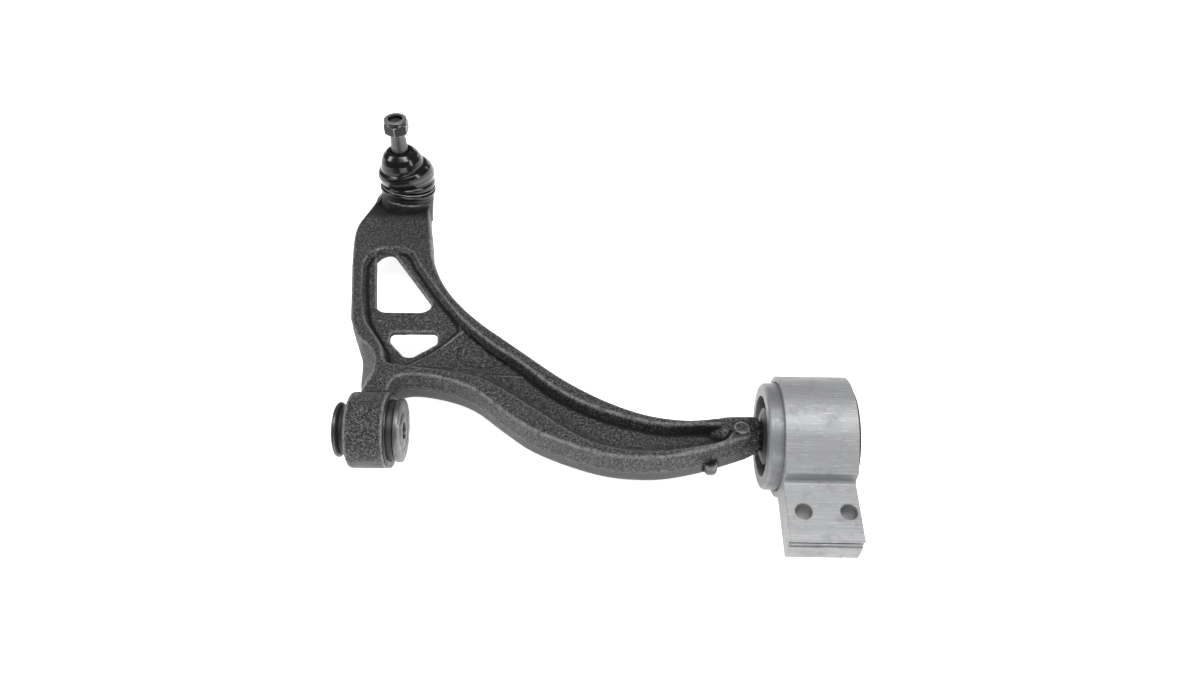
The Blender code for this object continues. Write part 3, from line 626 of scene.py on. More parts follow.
def seat_plastic():
    """Acetal seat of the ball."""
    look = Look("seat_plastic", (0.78, 0.76, 0.69), 0.42, frame=HOUSING_FRAME)
    look.cloud((5.0, 3.0, 0.55), 0.4, 0.7, (0.62, 0.6, 0.52), 0.4, 0.08)
    look.bump(look.noise(1.2, 2.0), 0.03, 0.5)
    return look.material


# ---- Arm casting, in the arm's own frame: origin at the front bush's centre, X along the pivot axis ----

OUTER_EDGE = [
    (322, 8), (300, 7), (262, 3.5), (220, 13), (170, 41), (119, 84), (76, 123), (46, 162),
    (28, 205), (19.5, 250), (13, 283),
]
BOSS_FOOT = (-16.3, 298.0)
BOSS_FOOT_RADIUS = 28.5
LEFT_EDGE = [(-46.5, 288), (-50.5, 275), (-55.5, 257), (-56, 236), (-50.5, 196), (-44, 160), (-37, 120)]
LEFT_NECK_TOP = [(-37, 120), (-27, 96), (-14, 82), (-6.5, 68), (-5, 52), (-9, 38), (-11, 22)]
LEFT_NECK_MIDDLE = [(-37, 120), (-27, 96), (-21, 80), (-18.5, 66), (-17, 52), (-14, 38), (-13, 22)]
LOWER_EDGE = [
    (12, 22), (13, 37), (18, 46.5), (34, 49.5), (62, 43.5), (86, 32), (112, 9.5), (137, -10),
    (172, -26.5), (205, -36), (240, -37.5), (272, -31), (300, -21), (322, -12),
]
POCKET_LEFT = [(12, 62), (4, 67), (-2, 84), (-13, 102), (-22, 117), (-28, 137), (-34, 165), (-39, 196)]
POCKET_TOP = [(-39, 196), (-35, 210), (-25, 218), (-10, 219), (4, 214), (15, 194)]
POCKET_TOP_UNDER = [(-39, 196), (-39, 222), (-30, 237), (-10, 240), (6, 231), (15, 194)]
CHANNEL_OUTER = [
    (15, 194), (42, 151), (65, 119), (96, 87), (120, 68), (154, 36), (186, 16), (217, 4), (248, -3),
    (278, -2), (300, -2),
]
CHANNEL_LOWER = [
    (303, -8), (296, -17), (277, -23), (247, -28.5), (217, -28.5), (187, -20), (164, -6), (140, 13),
    (106, 38), (84, 50), (50, 57), (12, 62),
]
CHANNEL_LOWER_FLOOR = [
    (299, -8), (292, -11), (277, -15), (247, -20), (217, -20), (187, -9), (166, 6), (146, 24),
    (118, 49), (94, 62), (56, 66), (16, 66),
]
POCKET_DIAGONAL = [(65, 119), (65, 110), (50, 91.5), (32, 75), (12, 62)]
TEARDROP = [
    (112, 73), (95, 68), (78, 69), (68, 74), (63, 83), (65, 95), (74, 107),
]
WINDOW_UPPER = [(-31, 218, 5), (-13.5, 217.5, 9), (40.8, 135.3, 9), (-16.5, 134.8, 10)]
WINDOW_LOWER = [(-0.6, 111.8, 6), (43, 112.4, 5), (44.4, 98.5, 5), (19.8, 78.5, 9), (1, 100, 8)]
# Raised lines cast on the upper floors: (points in plan, height, half width)
CAST_LINES = [
    (POCKET_LEFT[1:] + POCKET_TOP[1:5], 0.6, 0.9),
    (CHANNEL_LOWER[2:], 0.45, 0.9),
    ([(87, 56), (106, 58), (125, 57)], 0.6, 1.3),
    ([(67, 111), (50, 91.5)], 0.5, 1.2),
    ([(75.5, 103), (58.6, 88.9)], 0.35, 1.2),
    ([(-11.6, 123.7), (-11.2, 123.9)], 1.0, 1.3),
    ([(-16, 277), (-12, 279), (-8, 277.5)], 1.8, 2.0),
    ([(-5.8, 42.6), (-5.5, 42.9)], 0.5, 1.6),
    ([(4.5, 42.8), (4.8, 43.2)], 0.5, 1.6),
]


def casting_outline(neck):
    """The casting's outline in plan, anticlockwise, with the given run beside the front eye."""
    boss = arc(BOSS_FOOT, BOSS_FOOT_RADIUS, -10, 184, 40)
    return spline(OUTER_EDGE) + boss + spline(LEFT_EDGE)[:-1] + spline(neck) + spline(LOWER_EDGE)


def round_to_neck(outline, height):
    """Narrows the rear end of an outline so that it runs into the round neck."""
    found = []
    for point in outline:
        limit = NECK_RADIUS + 1.2 + 0.55 * max(0.0, NECK_END - 5.0 - point.x)
        half = math.sqrt(max(4.0, limit**2 - height**2))
        found.append(Vector((point.x, max(-half, min(half, point.y)))) if point.x > NECK_START else point)
    return found


def lift(y):
    """How much higher the web lies at y than beside the front eye: it climbs towards the ball joint."""
    return LIFT * eased(y, LIFT_START, LIFT_END) + LIFT_SLOPE * max(0.0, y - LIFT_END)


def climb(made):
    """Makes a cutter's floor follow the web: cuts it across, then raises its points near the middle plane."""
    for step in range(CLIMB_STEPS + 1):
        y = LIFT_START + (LIFT_END - LIFT_START) * step / CLIMB_STEPS
        whole = made.verts[:] + made.edges[:] + made.faces[:]
        bmesh.ops.bisect_plane(made, geom=whole, plane_co=(0, y, 0), plane_no=(0, 1, 0))
    for point in made.verts:
        if abs(point.co.z) < WALL_HEIGHT:
            point.co.z = min(point.co.z + lift(point.co.y), RIM_HALF - EDGE - 0.6)


def channel_outline(outer, lower, pocket_top):
    """The channel and the pocket round the windows together, anticlockwise."""
    pocket = spline(pocket_top[::-1])[:-1] + spline(POCKET_LEFT[::-1], 6)[:-1]
    return spline(outer[::-1], 6)[:-1] + pocket + spline(lower[::-1], 6)


def channel_cutter(side, pocket_top, floor_height):
    """The channel on one side, a solid: steep along the outer rim, an easy slope along the lower one."""
    top = channel_outline(CHANNEL_OUTER, CHANNEL_LOWER, pocket_top)
    floor = inset(channel_outline(CHANNEL_OUTER, CHANNEL_LOWER_FLOOR, pocket_top), 2.4)
    wall_top = RIM_HALF - EDGE
    drop = 0.35 * EDGE
    rings = [
        at_height(inset(top, -EDGE - 1.0), side * (RIM_HALF + 2.0)),
        at_height(inset(top, -EDGE), side * (RIM_HALF + 0.2)),
        at_height(inset(top, -drop), side * (RIM_HALF - drop)),
    ]
    for share in (0.0, 0.25, 0.45, 0.62, 0.78, 0.9, 1.0):
        height = floor_height + (side * wall_top - floor_height) * (1 - share) ** 1.7
        rings.append(at_height(between(top, floor, share), height))
    return loft(rings, bend=climb)


def pocket_cutter():
    """The slightly deeper floor round the two windows, on the upper side."""
    pocket = spline(POCKET_DIAGONAL[::-1])[:-1] + spline(CHANNEL_OUTER[2::-1])[:-1]
    pocket += spline(POCKET_TOP[::-1])[:-1] + spline(POCKET_LEFT[::-1], 6)[:-1]
    rings = [
        at_height(inset(pocket, 1.9), FLOOR + 1.0),
        at_height(inset(pocket, 2.1), FLOOR - 0.4),
        at_height(inset(pocket, 3.8), POCKET_FLOOR),
    ]
    return loft(rings, bend=climb)


def prism(points, axis, low, high):
    """A straight solid along an axis, from low to high, over points given by their other two coordinates."""
    rings = []
    for place in (low, high):
        rings.append([(*point[:axis], place, *point[axis:]) for point in points])
    return loft(rings)


def casting_blank():
    """The outline drawn up through its thickness, with rounded edges above and below."""
    top = casting_outline(LEFT_NECK_TOP)
    middle = casting_outline(LEFT_NECK_MIDDLE)
    under, over = [], []
    for degrees in (0, 30, 60, 90):
        across = 1 - math.sin(math.radians(degrees))
        up = 1 - math.cos(math.radians(degrees))
        under.append((middle, EDGE_UNDER * across, -RIM_HALF + EDGE_UNDER * up))
        over.insert(0, (top, EDGE * across, RIM_HALF - EDGE * up))
    levels = under + [(middle, 0.0, 0.0)] + over
    rings = [at_height(round_to_neck(inset(run, by), height), height) for run, by, height in levels]
    return new_object("casting", loft(rings), ARM_FRAME)


def rough_casting():
    """The casting's solid before its skin is rebuilt."""
    teardrop = spline(TEARDROP)
    dip = [at_height(inset(teardrop, -0.5), FLOOR + 1.0), at_height(teardrop, FLOOR - TEARDROP_DEPTH)]
    neck = rounded([
        (0, NECK_START), (9, NECK_START), (NECK_RADIUS - 1, NECK_START + 10, 8),
        (NECK_RADIUS, NECK_START + 20, 8), (NECK_RADIUS, NECK_END, 1.4), (PIN_RADIUS, NECK_END),
        (PIN_RADIUS, PIN_END, 1), (PIN_THREAD_RADIUS, PIN_END), (PIN_THREAD_RADIUS, PIN_THREAD_END, 1),
        (0, PIN_THREAD_END),
    ])
    pad = rounded([(0, 2), (6.6, 2), (6.6, 18.4, 0.8), (0, 18.4)])
    lug = rounded([(0, -13), (5.6, -13, 1.2), (5.6, -3), (0, -3)])
    eye = rounded([(0, EYE_LEFT), (EYE_RADIUS, EYE_LEFT, 2), (EYE_RADIUS, EYE_RIGHT, 1.6), (0, EYE_RIGHT)])
    eye_bore = [(0, -40), (EYE_BORE, -40), (EYE_BORE, 40), (0, 40)]
    boss_low = BOSS_BOTTOM - 6
    boss = rounded([(0, boss_low), (BOSS_RADIUS, boss_low), (BOSS_RADIUS, BOSS_TOP, 1.4), (0, BOSS_TOP)])
    web = [(-12, -20), (-36, -20), (-31.5, -6), (-25.8, 6.0), (-12, 6.0)]
    facing = [(-28, BOSS_BOTTOM), (50, BOSS_BOTTOM), (50, -70), (-75, -70), (-75, -52), (-60, -43)]
    boss_bore = [(0, -60), (BOSS_BORE, -60), (BOSS_BORE, 40), (0, 40)]
    casting = casting_blank()
    carve(casting, [
        (CUT, channel_cutter(1, POCKET_TOP, FLOOR), ARM_FRAME),
        (CUT, channel_cutter(-1, POCKET_TOP_UNDER, UNDER_FLOOR), ARM_FRAME),
        (CUT, pocket_cutter(), ARM_FRAME),
        (CUT, loft(dip, bend=climb), ARM_FRAME),
        (CUT, prism(rounded(WINDOW_UPPER, 12), 2, -20, 20), ARM_FRAME),
        (CUT, prism(rounded(WINDOW_LOWER, 12), 2, -20, 20), ARM_FRAME),
        (JOIN, turned(neck, "X", MEDIUM), ARM_FRAME),
        (JOIN, turned(pad, steps=48, centre=(311, -5.8, 0)), ARM_FRAME),
        (JOIN, turned(lug, steps=40, centre=(286, -27.5, 0)), ARM_FRAME),
        (JOIN, turned(eye, "X"), ARM_FRAME),
        (CUT, turned(eye_bore, "X"), ARM_FRAME),
        (JOIN, turned(boss), HOUSING_FRAME),
        (JOIN, prism(web, 1, -9, 7), HOUSING_FRAME),
        (CUT, prism(facing, 0, -60, 60), HOUSING_FRAME),
        (CUT, turned(boss_bore), HOUSING_FRAME),
    ])
    return casting


def rebuild_skin(target):
    """Rebuilds the mesh on an even grid."""
    step = target.modifiers.new("skin", "REMESH")
    step.mode = "VOXEL"
    step.voxel_size = VOXEL * MM
    apply_modifiers(target)


def evened(points, edges, passes):
    """The points after each has moved halfway to the mean of its neighbours, passes times."""
    ends = np.concatenate([edges[:, 0], edges[:, 1]])
    others = np.concatenate([edges[:, 1], edges[:, 0]])
    degree = np.maximum(np.bincount(ends, minlength=len(points)), 1)
    found = points.copy()
    for _ in range(passes):
        sums = [np.bincount(ends, found[others, axis], len(points)) for axis in range(3)]
        found += 0.5 * (np.stack(sums, axis=1) / degree[:, None] - found)
    return found


def distance_to_line(plan, line):
    """Each plan point's distance to an open run of points."""
    nearest = np.full(len(plan), np.inf)
    spots = np.array(line)
    for first, along in zip(spots, np.diff(spots, axis=0)):
        share = np.clip((plan - first) @ along / (along @ along), 0, 1)
        nearest = np.minimum(nearest, np.linalg.norm(plan - first - share[:, None] * along, axis=1))
    return nearest


def cast_details(points, normals):
    """How far each skin point is raised along its normal, in millimetres."""
    upper = np.clip(normals[:, 2] * 2 - 0.6, 0, 1) * (points[:, 2] > 0)
    rise = np.zeros(len(points))
    plan = points[:, :2]
    for line, height, half_width in CAST_LINES:
        rise += upper * height * np.exp(-((distance_to_line(plan, spline(line, 4)) / half_width) ** 2))
    wall = np.clip(1 - 2.5 * np.abs(normals[:, 2]), 0, 1)
    from_boss = np.linalg.norm(plan - np.array(BALL[:2]), axis=1)
    away_from_bores = (points[:, 1] > EYE_RADIUS + 8) & (from_boss > BOSS_RADIUS + 7.1)
    flash = np.exp(-((points[:, 2] / FLASH_HALF_WIDTH) ** 2))
    return rise + FLASH_HEIGHT * wall * away_from_bores * flash


def read_mesh(rows, field, width, kind=float):
    """One property of a mesh's points or edges, a row of numbers for each."""
    found = np.empty(len(rows) * width, kind)
    rows.foreach_get(field, found)
    return found.reshape(-1, width)


def write_points(mesh, points):
    to_row = np.array(ARM_FRAME)
    mesh.vertices.foreach_set("co", ((points @ to_row[:3, :3].T + to_row[:3, 3]) * MM).ravel())
    mesh.update()


def arm_casting(look):
    casting = rough_casting()
    rebuild_skin(casting)
    mesh = casting.data
    to_arm = np.array(ARM_FRAME.inverted())
    points = read_mesh(mesh.vertices, "co", 3) / MM @ to_arm[:3, :3].T + to_arm[:3, 3]
    edges = read_mesh(mesh.edges, "vertices", 2, np.int64)
    points = evened(points, edges, SOFTENING_PASSES)
    write_points(mesh, points)
    normals = read_mesh(mesh.vertices, "normal", 3) @ to_arm[:3, :3].T
    points += normals * cast_details(points, normals)[:, None]
    write_points(mesh, points)
    relief = mesh.attributes.new("relief", "FLOAT", "POINT")
    relief.data.foreach_set("value", ((points - evened(points, edges, RELIEF_PASSES)) * normals).sum(axis=1))
    mesh.shade_smooth()
    show(casting, look, "arm", "coated_iron", "arm_casting")


# ---- Front bush ----


def front_bush(rubber):
    outer = EYE_BORE - GAP
    wall = outer - 1.6
    inside = wall - GAP
    inner = SLEEVE_RADIUS + GAP
    lip = EYE_RIGHT + GAP
    lip_edge = EYE_RADIUS - 0.4
    steel = turned_steel("sleeve_steel", (0.045, 0.046, 0.048), 0.38, ARM_FRAME, "X")
    dark = turned_steel("left_disc_steel", (0.085, 0.086, 0.09), 0.36, ARM_FRAME, "X", 0.85)
    grey = turned_steel("right_disc_steel", (0.125, 0.127, 0.132), 0.42, ARM_FRAME, "X")
    sleeve = [
        (wall, EYE_LEFT - 1.6), (outer, EYE_LEFT - 1.0, 0.5), (outer, lip, 0.3), (lip_edge, lip, 0.3),
        (lip_edge, lip + 1.4, 0.6), (wall, lip + 1.4, 0.6),
    ]
    filling = [
        (inner, -21.6), (20.5, -21.6, 0.8), (21.5, -19.0, 1.5), (inside, EYE_LEFT - 2.0, 1.0),
        (inside, lip + 1.2), (inside - 0.4, 22.4, 1.5), (inside - 1.4, 24.2, 0.8), (inner, 24.2),
    ]
    tube = [
        (BOLT_RADIUS, SLEEVE_LEFT, 0.8), (SLEEVE_RADIUS, SLEEVE_LEFT, 0.6),
        (SLEEVE_RADIUS, SLEEVE_RIGHT, 0.6), (BOLT_RADIUS, SLEEVE_RIGHT, 0.8),
    ]
    left = [
        (inner, -27.0), (20.9, -27.0, 1.2), (23.2, -25.8, 1.2), (23.2, -23.6, 1.2), (21.0, -21.9, 0.8),
        (inner, -21.9),
    ]
    right = [
        (inner, 24.5), (26.8, 24.5, 0.8), (26.8, 28.8, 1.0), (18.0, 28.8, 0.5), (17.4, 28.3, 0.5),
        (14.8, 28.3, 0.5), (14.2, 28.8, 0.5), (inner, 28.8),
    ]
    pieces = (
        ("front_sleeve_outer", sleeve, FINE, steel, "arm", "plain_steel", "front_outer_sleeve"),
        ("front_bush_rubber", filling, FINE, rubber, "arm", "bush_rubber", "front_rubber"),
        ("front_sleeve_inner", tube, MEDIUM, grey, "front_sleeve", "plain_steel", "front_inner_sleeve"),
        ("front_disc_left", left, FINE, dark, "front_sleeve", "disc_steel", "front_left_disc"),
        ("front_disc_right", right, FINE, grey, "front_sleeve", "disc_steel", "front_right_disc"),
    )
    for name, corners, steps, *fitting in pieces:
        add_piece(name, turned(rounded(corners), "X", steps), ARM_FRAME, *fitting)


# ---- Rear bush and its bracket; places along X are from the middle of the bracket ----


def bracket_profile():
    """The extrusion's outline in (Y, Z) about the pivot axis, clockwise from the ring's flat."""
    flat_angle = 128.0
    foot_bottom = FOOT_TOP - FOOT_THICKNESS
    fillet = 9.0
    reach = math.sqrt((RING_RADIUS + fillet) ** 2 - (foot_bottom - fillet) ** 2)
    low_centre = Vector((-reach, foot_bottom - fillet))
    meet = math.degrees(math.atan2(low_centre.y, low_centre.x))
    ring = arc((0, 0), RING_RADIUS, flat_angle, meet, 110)
    hollow = arc(low_centre, fillet, meet + 180, 90, 12)
    end = rounded([
        (FOOT_FAR + 12, foot_bottom), (FOOT_FAR, foot_bottom, 1.2), (FOOT_FAR, FOOT_TOP - 10.3, 1.0),
        (FOOT_FAR + 1.4, FOOT_TOP - 9.6, 0.6), (FOOT_FAR + 1.4, FOOT_TOP - 6.4, 0.6),
        (FOOT_FAR + 3.0, FOOT_TOP - 6.0, 0.4), (FOOT_FAR + 3.0, FOOT_TOP - 4.0, 0.4),
        (FOOT_FAR + 0.8, FOOT_TOP - 3.4, 0.4), (FOOT_FAR + 0.8, FOOT_TOP, 0.5), (FOOT_FAR + 12, FOOT_TOP),
    ], 4)
    corner = arc((FOOT_NEAR - 3.0, FOOT_TOP + 3.0), 3.0, -90, 0, 10)
    edge = [(FOOT_NEAR, 24.0), (FOOT_NEAR + 0.2, 25.0), (FOOT_NEAR + 0.8, 25.8)]
    return ring + hollow + end + corner + [Vector(p) for p in edge]


def rear_bracket(look):
    half = BRACKET_WIDTH / 2
    break_edge = 0.35
    outline = bracket_profile()
    inner = inset(outline, break_edge)
    levels = [(inner, -half), (outline, -half + break_edge), (outline, half - break_edge), (inner, half)]
    rings = [[(x, p.x, p.y) for p in run] for run, x in levels]
    bracket = new_object("bracket", loft(rings), REAR_FRAME)
    chamfer = 1.2
    mouth = RING_BORE + chamfer
    bore = [
        (0, -half - 5), (mouth + 5, -half - 5), (mouth, -half), (RING_BORE, -half + chamfer),
        (RING_BORE, half - chamfer), (mouth, half), (mouth + 5, half + 5), (0, half + 5),
    ]
    steps = [(CUT, turned(bore, "X"), REAR_FRAME)]
    foot_bottom = FOOT_TOP - FOOT_THICKNESS
    burr = 0.5
    hole_mouth = HOLE_RADIUS + burr + 8
    hole = [
        (0, foot_bottom - 9), (hole_mouth, foot_bottom - 8), (HOLE_RADIUS, foot_bottom + burr),
        (HOLE_RADIUS, FOOT_TOP - burr), (hole_mouth, FOOT_TOP + 8), (0, FOOT_TOP + 9),
    ]
    for side in (-1, 1):
        place = (HOLE_SHIFT + side * HOLE_SPACING / 2, -PIVOT_Y, 0)
        steps.append((CUT, turned(hole, steps=MEDIUM, centre=place), REAR_FRAME))
    carve(bracket, steps)
    mark_sharp(bracket.data, 28.0)
    show(bracket, look, "bracket", "bare_aluminium", "rear_bracket")


def oval_core(left, right, grow, edge):
    """The rear bush's core as a solid: an oval across, upright."""
    width, height = 20.5 + grow, 32.0 + grow
    rings = []
    levels = [(left, edge), (left + 0.3 * edge, 0.3 * edge), (left + edge, 0.0)]
    levels += [(right - edge, 0.0), (right - 0.3 * edge, 0.3 * edge), (right, edge)]
    for x, back in levels:
        circle = round_ring(lambda _: 1.0, x, FINE, "X")
        rings.append([(x, (width - back) * across, (height - back) * up) for x, across, up in circle])
    return loft(rings)


def rear_bush(rubber):
    can_metal = turned_steel("bush_can", (0.19, 0.193, 0.198), 0.45, REAR_FRAME, "X", 0.5)
    core_metal = turned_steel("core_aluminium", (0.52, 0.525, 0.53), 0.42, REAR_FRAME, "X", 0.6)
    inner = CAN_RADIUS - CAN_WALL
    lip = CAN_RADIUS - FLANGE_WIDTH
    can = rounded([
        (lip, CAN_LEFT, 1.0), (CAN_RADIUS, CAN_LEFT, 3.4), (CAN_RADIUS, 27.5, 0.4), (inner, 27.5, 0.4),
        (inner, CAN_LEFT + 14.0, 2), (lip, CAN_LEFT + 9.0, 2),
    ], 8)
    can_fitting = can_metal, "bracket", "bush_can", "rear_can"
    add_piece("rear_bush_can", turned(can, "X", 160), REAR_FRAME, *can_fitting)

    pin = PIN_RADIUS + GAP
    shoulder = NECK_END - BUSH_SPAN + GAP
    disc = rounded([
        (pin, shoulder + 1.6), (17.0, shoulder + 1.8, 3), (24.0, shoulder + 4.4, 1.2),
        (24.0, shoulder + 6.5, 0.6), (pin, shoulder + 6.5),
    ])
    add_piece("stop_disc", turned(disc, "X"), REAR_FRAME, rubber, "arm", "bush_rubber", "rear_stop_disc")

    core_right = PIN_END - BUSH_SPAN
    core = new_object("rear_bush_core", oval_core(shoulder + 6.5 + GAP, core_right, 0.0, 2.0), REAR_FRAME)
    bore = [(0, -80), (pin, -80), (pin, 80), (0, 80)]
    carve(core, [(CUT, turned(bore, "X", MEDIUM), REAR_FRAME)])
    mark_sharp(core.data, SHARP_ANGLE)
    show(core, core_metal, "arm", "core_aluminium", "rear_core")

    radius = inner - GAP
    block = rounded([(0, -22.0), (radius, -22.0, 1.2), (radius, 22.0, 1.2), (0, 22.0)])
    spring = new_object("rear_bush_rubber", turned(block, "X", MEDIUM), REAR_FRAME)
    steps = [(CUT, oval_core(-60, 60, GAP, 0.0), REAR_FRAME)]
    void = arc((0, 0), 38.0, 90 - 58, 90 + 58, 40) + arc((0, 0), 26.0, 90 + 44, 90 - 44, 30)
    for side in (1, -1):
        steps.append((CUT, prism([(y, side * z) for y, z in void], 0, -40, 8), REAR_FRAME))
    carve(spring, steps)
    mark_sharp(spring.data, SHARP_ANGLE)
    show(spring, rubber, "arm", "bush_rubber", "rear_rubber_spring")

    end = BRACKET_WIDTH / 2
    rim = rounded([
        (33.0, 24.0), (radius, 24.0), (radius, 27.5 + GAP), (42.0, 28.6), (42.5, end + 0.4),
        (44.8, end + 0.5, 0.4), (45.4, end + 1.2, 0.6), (45.0, end + 2.6, 0.8), (43.4, end + 3.4, 0.8),
        (37.0, end + 3.4, 1.0), (35.0, end + 2.6, 0.5),
    ])
    rim_fitting = rim_rubber(), "bracket", "bush_rubber", "rear_end_rim"
    add_piece("rear_bush_rim", turned(rim, "X", 160), REAR_FRAME, *rim_fitting)

    nut_left = core_right + GAP
    washer = 2.3
    places = [nut_left + up for up in (0.0, 0.5, 2.0, 2.4)]
    places += [nut_left + 2.5 + 0.35 * step for step in range(6)]
    places += [nut_left + 6, nut_left + 8.2] + [nut_left + 8.6 + 0.38 * step for step in range(6)]

    def nut_radius(place, angle):
        if place < nut_left + washer:
            return 14.5 - (0.5 if place == nut_left else 0.0)
        return hexagon(21.0, angle, 10.4 + 1.7 * (nut_left + 10.6 - place))

    nut = surface(nut_radius, places, FINE, "X", PIN_THREAD_RADIUS + GAP)
    nut_metal = phosphated_steel("pin_nut_steel", (0.07, 0.071, 0.075), 0.4, REAR_FRAME)
    add_piece("pin_nut", nut, REAR_FRAME, nut_metal, "arm", "phosphate_steel", "rear_pin_nut")


# ---- Ball joint ----


def hexagon(flats, angle, limit):
    """Radius of a hexagon across the given flats, no more than limit."""
    from_flat = (angle + math.pi / 6) % (math.pi / 3) - math.pi / 6
    return min(limit, flats / 2 / math.cos(from_flat))


def thread_radius(place, angle):
    """Radius of the stud's screw thread at a place along it."""
    turn = (place / THREAD_PITCH - angle / math.tau) % 1.0
    return THREAD_RADIUS - THREAD_DEPTH * (1 - abs(2 * turn - 1))


def ball_housing():
    steel = turned_steel("housing_steel", (0.02, 0.0202, 0.021), 0.42, HOUSING_FRAME)
    dark = phosphated_steel("circlip_steel", (0.06, 0.06, 0.064), 0.4, HOUSING_FRAME)
    outer = BOSS_BORE - GAP
    bore = SEAT_RADIUS + GAP
    flange_low = BOSS_TOP + GAP
    housing = rounded([
        (bore, -17.8), (20.8, -17.8), (20.8, -21.4), (19.6, -22.0, 0.3), (19.6, -25.5, 0.3),
        (20.5, -27.0, 0.6), (outer - 0.8, -27.0, 0.4), (outer, -26.2, 0.4), (outer, -25.2), (21.4, -25.2),
        (21.4, -23.2), (outer, -23.2), (outer, flange_low), (26.8, flange_low, 0.4), (26.8, 12.6, 0.7),
        (18.0, 12.6, 0.5), (15.0, 7.4), (bore, 7.4),
    ])
    pocket = BALL_RADIUS + GAP
    top = math.degrees(math.asin(7.0 / pocket))
    low = math.degrees(math.asin(-13.2 / pocket))
    seat = [(9.0, -17.4), (SEAT_RADIUS, -17.4), (SEAT_RADIUS, 7.0)] + arc((0, 0), pocket, top, low, 24)
    cover = rounded([
        (0, -21.2), (13.0, -21.2, 2.0), (14.0, -20.4, 1.0), (17.5, -20.4, 1.0), (18.4, -21.2, 1.0),
        (20.5, -21.2, 0.4), (20.5, -18.0), (14.0, -18.0), (10.0, -17.7), (0, -17.7),
    ])
    clip = arc((0, 0), 21.7, 100, 440, 120) + arc((0, 0), 25.6, 440, 100, 120)
    clip_end = inset(clip, 0.25)
    levels = [(clip_end, -25.0), (clip, -24.75), (clip, -23.75), (clip_end, -23.5)]
    pieces = (
        ("joint_housing", turned(housing), steel, "plain_steel", "ball_housing"),
        ("joint_seat", turned(seat, steps=MEDIUM), seat_plastic(), "seat_plastic", "ball_seat"),
        ("joint_cover", turned(cover), steel, "plain_steel", "housing_cover"),
        ("retaining_ring", loft([at_height(*level) for level in levels]), dark, "phosphate_steel", "circlip"),
    )
    for name, made, look, slot, node in pieces:
        add_piece(name, made, HOUSING_FRAME, look, "arm", slot, node)


def ball_stud():
    steps = 72
    neck_angle = math.degrees(math.acos(STUD_NECK / BALL_RADIUS))
    body = arc((0, 0), BALL_RADIUS, -70, neck_angle, 30)
    body += spline([(STUD_NECK, 18.0), (STUD_NECK, 26.0), (8.2, 33.0), (STUD_SHOULDER, 40.0)], 6)
    thread_start = TAPER_END + 0.4
    body += [(STUD_SHOULDER, TAPER_START), (THREAD_RADIUS, TAPER_END), (THREAD_RADIUS, thread_start)]
    rings = [round_ring(lambda _: radius, place, steps) for radius, place in body]
    spacing = 0.25
    for number in range(int((STUD_END - thread_start) / spacing) + 1):
        place = thread_start + spacing * number
        end_chamfer = THREAD_RADIUS - 1.4 + (STUD_END - place)
        rings.append(round_ring(lambda angle: min(thread_radius(place, angle), end_chamfer), place, steps))
    look = turned_steel("stud_steel", (0.075, 0.076, 0.079), 0.34, STUD_FRAME)
    add_piece("stud", loft(rings), STUD_FRAME, look, "stud", "plain_steel", "ball_stud")


def stud_nut():
    low = TAPER_END + GAP
    hex_top = 93.4
    fillet = 1.2
    places = [low + 0.3 * step for step in range(7)] + [low + 4, 90.2]
    places += [90.6 + 0.28 * step for step in range(11)] + [hex_top + 0.15, NUT_TOP - 1.3]
    places += [NUT_TOP - fillet * math.cos(math.radians(15 * step)) for step in range(1, 7)]
    places = sorted(set(round(place, 4) for place in places))

    def radius(place, angle):
        if place > hex_top:
            drop = max(0.0, place - NUT_TOP + fillet)
            return COLLAR_RADIUS - fillet + math.sqrt(max(0.0, fillet**2 - drop**2))
        room = min(hex_top + 0.4 - place, place - low + 0.15)
        return hexagon(NUT_FLATS, angle, 10.9 + 1.75 * room)

    nut = surface(radius, places, 144, bore=THREAD_RADIUS + GAP)
    look = phosphated_steel("nut_steel", (0.022, 0.0223, 0.0235), 0.30, STUD_FRAME)
    add_piece("locking_nut", nut, STUD_FRAME, look, "stud", "phosphate_steel", "stud_nut")


# Boot profiles, (radius, place along the axis). The cap and the big fold are one piece, the thin rings
# another; they meet in a flat ring where the fold is widest.
SEAM_OUTSIDE, SEAM_INSIDE, SEAM_PLACE = 28.2, 26.3, 33.4
CAP_OUTSIDE = [
    (9.5, 62.4), (11.0, 62.4), (13.4, 61.4), (17.2, 57.6), (19.9, 52.6), (21.3, 47.4), (21.8, 44.9),
    (21.2, 44.1), (24.8, 42.2), (27.3, 38.4), (SEAM_OUTSIDE, SEAM_PLACE, 0.0),
]
CAP_INSIDE = [
    (SEAM_INSIDE, SEAM_PLACE, 0.0), (25.8, 37.8), (23.2, 40.9), (19.7, 43.4), (18.7, 50.0), (13.4, 56.8),
    (12.6, 60.0), (9.4, 60.0),
]
RINGS_OUTSIDE = [
    (SEAM_OUTSIDE, SEAM_PLACE, 0.0), (28.0, 28.6), (26.9, 25.6), (25.6, 24.2), (27.4, 22.6), (27.4, 20.4),
    (25.9, 19.2), (25.8, 18.0), (28.4, 16.8), (28.5, 14.2), (27.15, 13.0),
]
RINGS_INSIDE = [
    (25.2, 13.0), (23.8, 17.6), (24.6, 21.2), (23.0, 25.2), (24.4, 28.6), (SEAM_INSIDE, SEAM_PLACE, 0.0),
]
LEAN_START, LEAN_END = 22.0, 46.0
# How far the rings lean over by themselves, (place along the axis, degrees about Y)
BOOT_SAG = [(18.0, 0.0), (22.0, 7.0), (27.0, 13.0), (34.0, 10.0), (44.6, 7.0), (55.0, 0.0)]


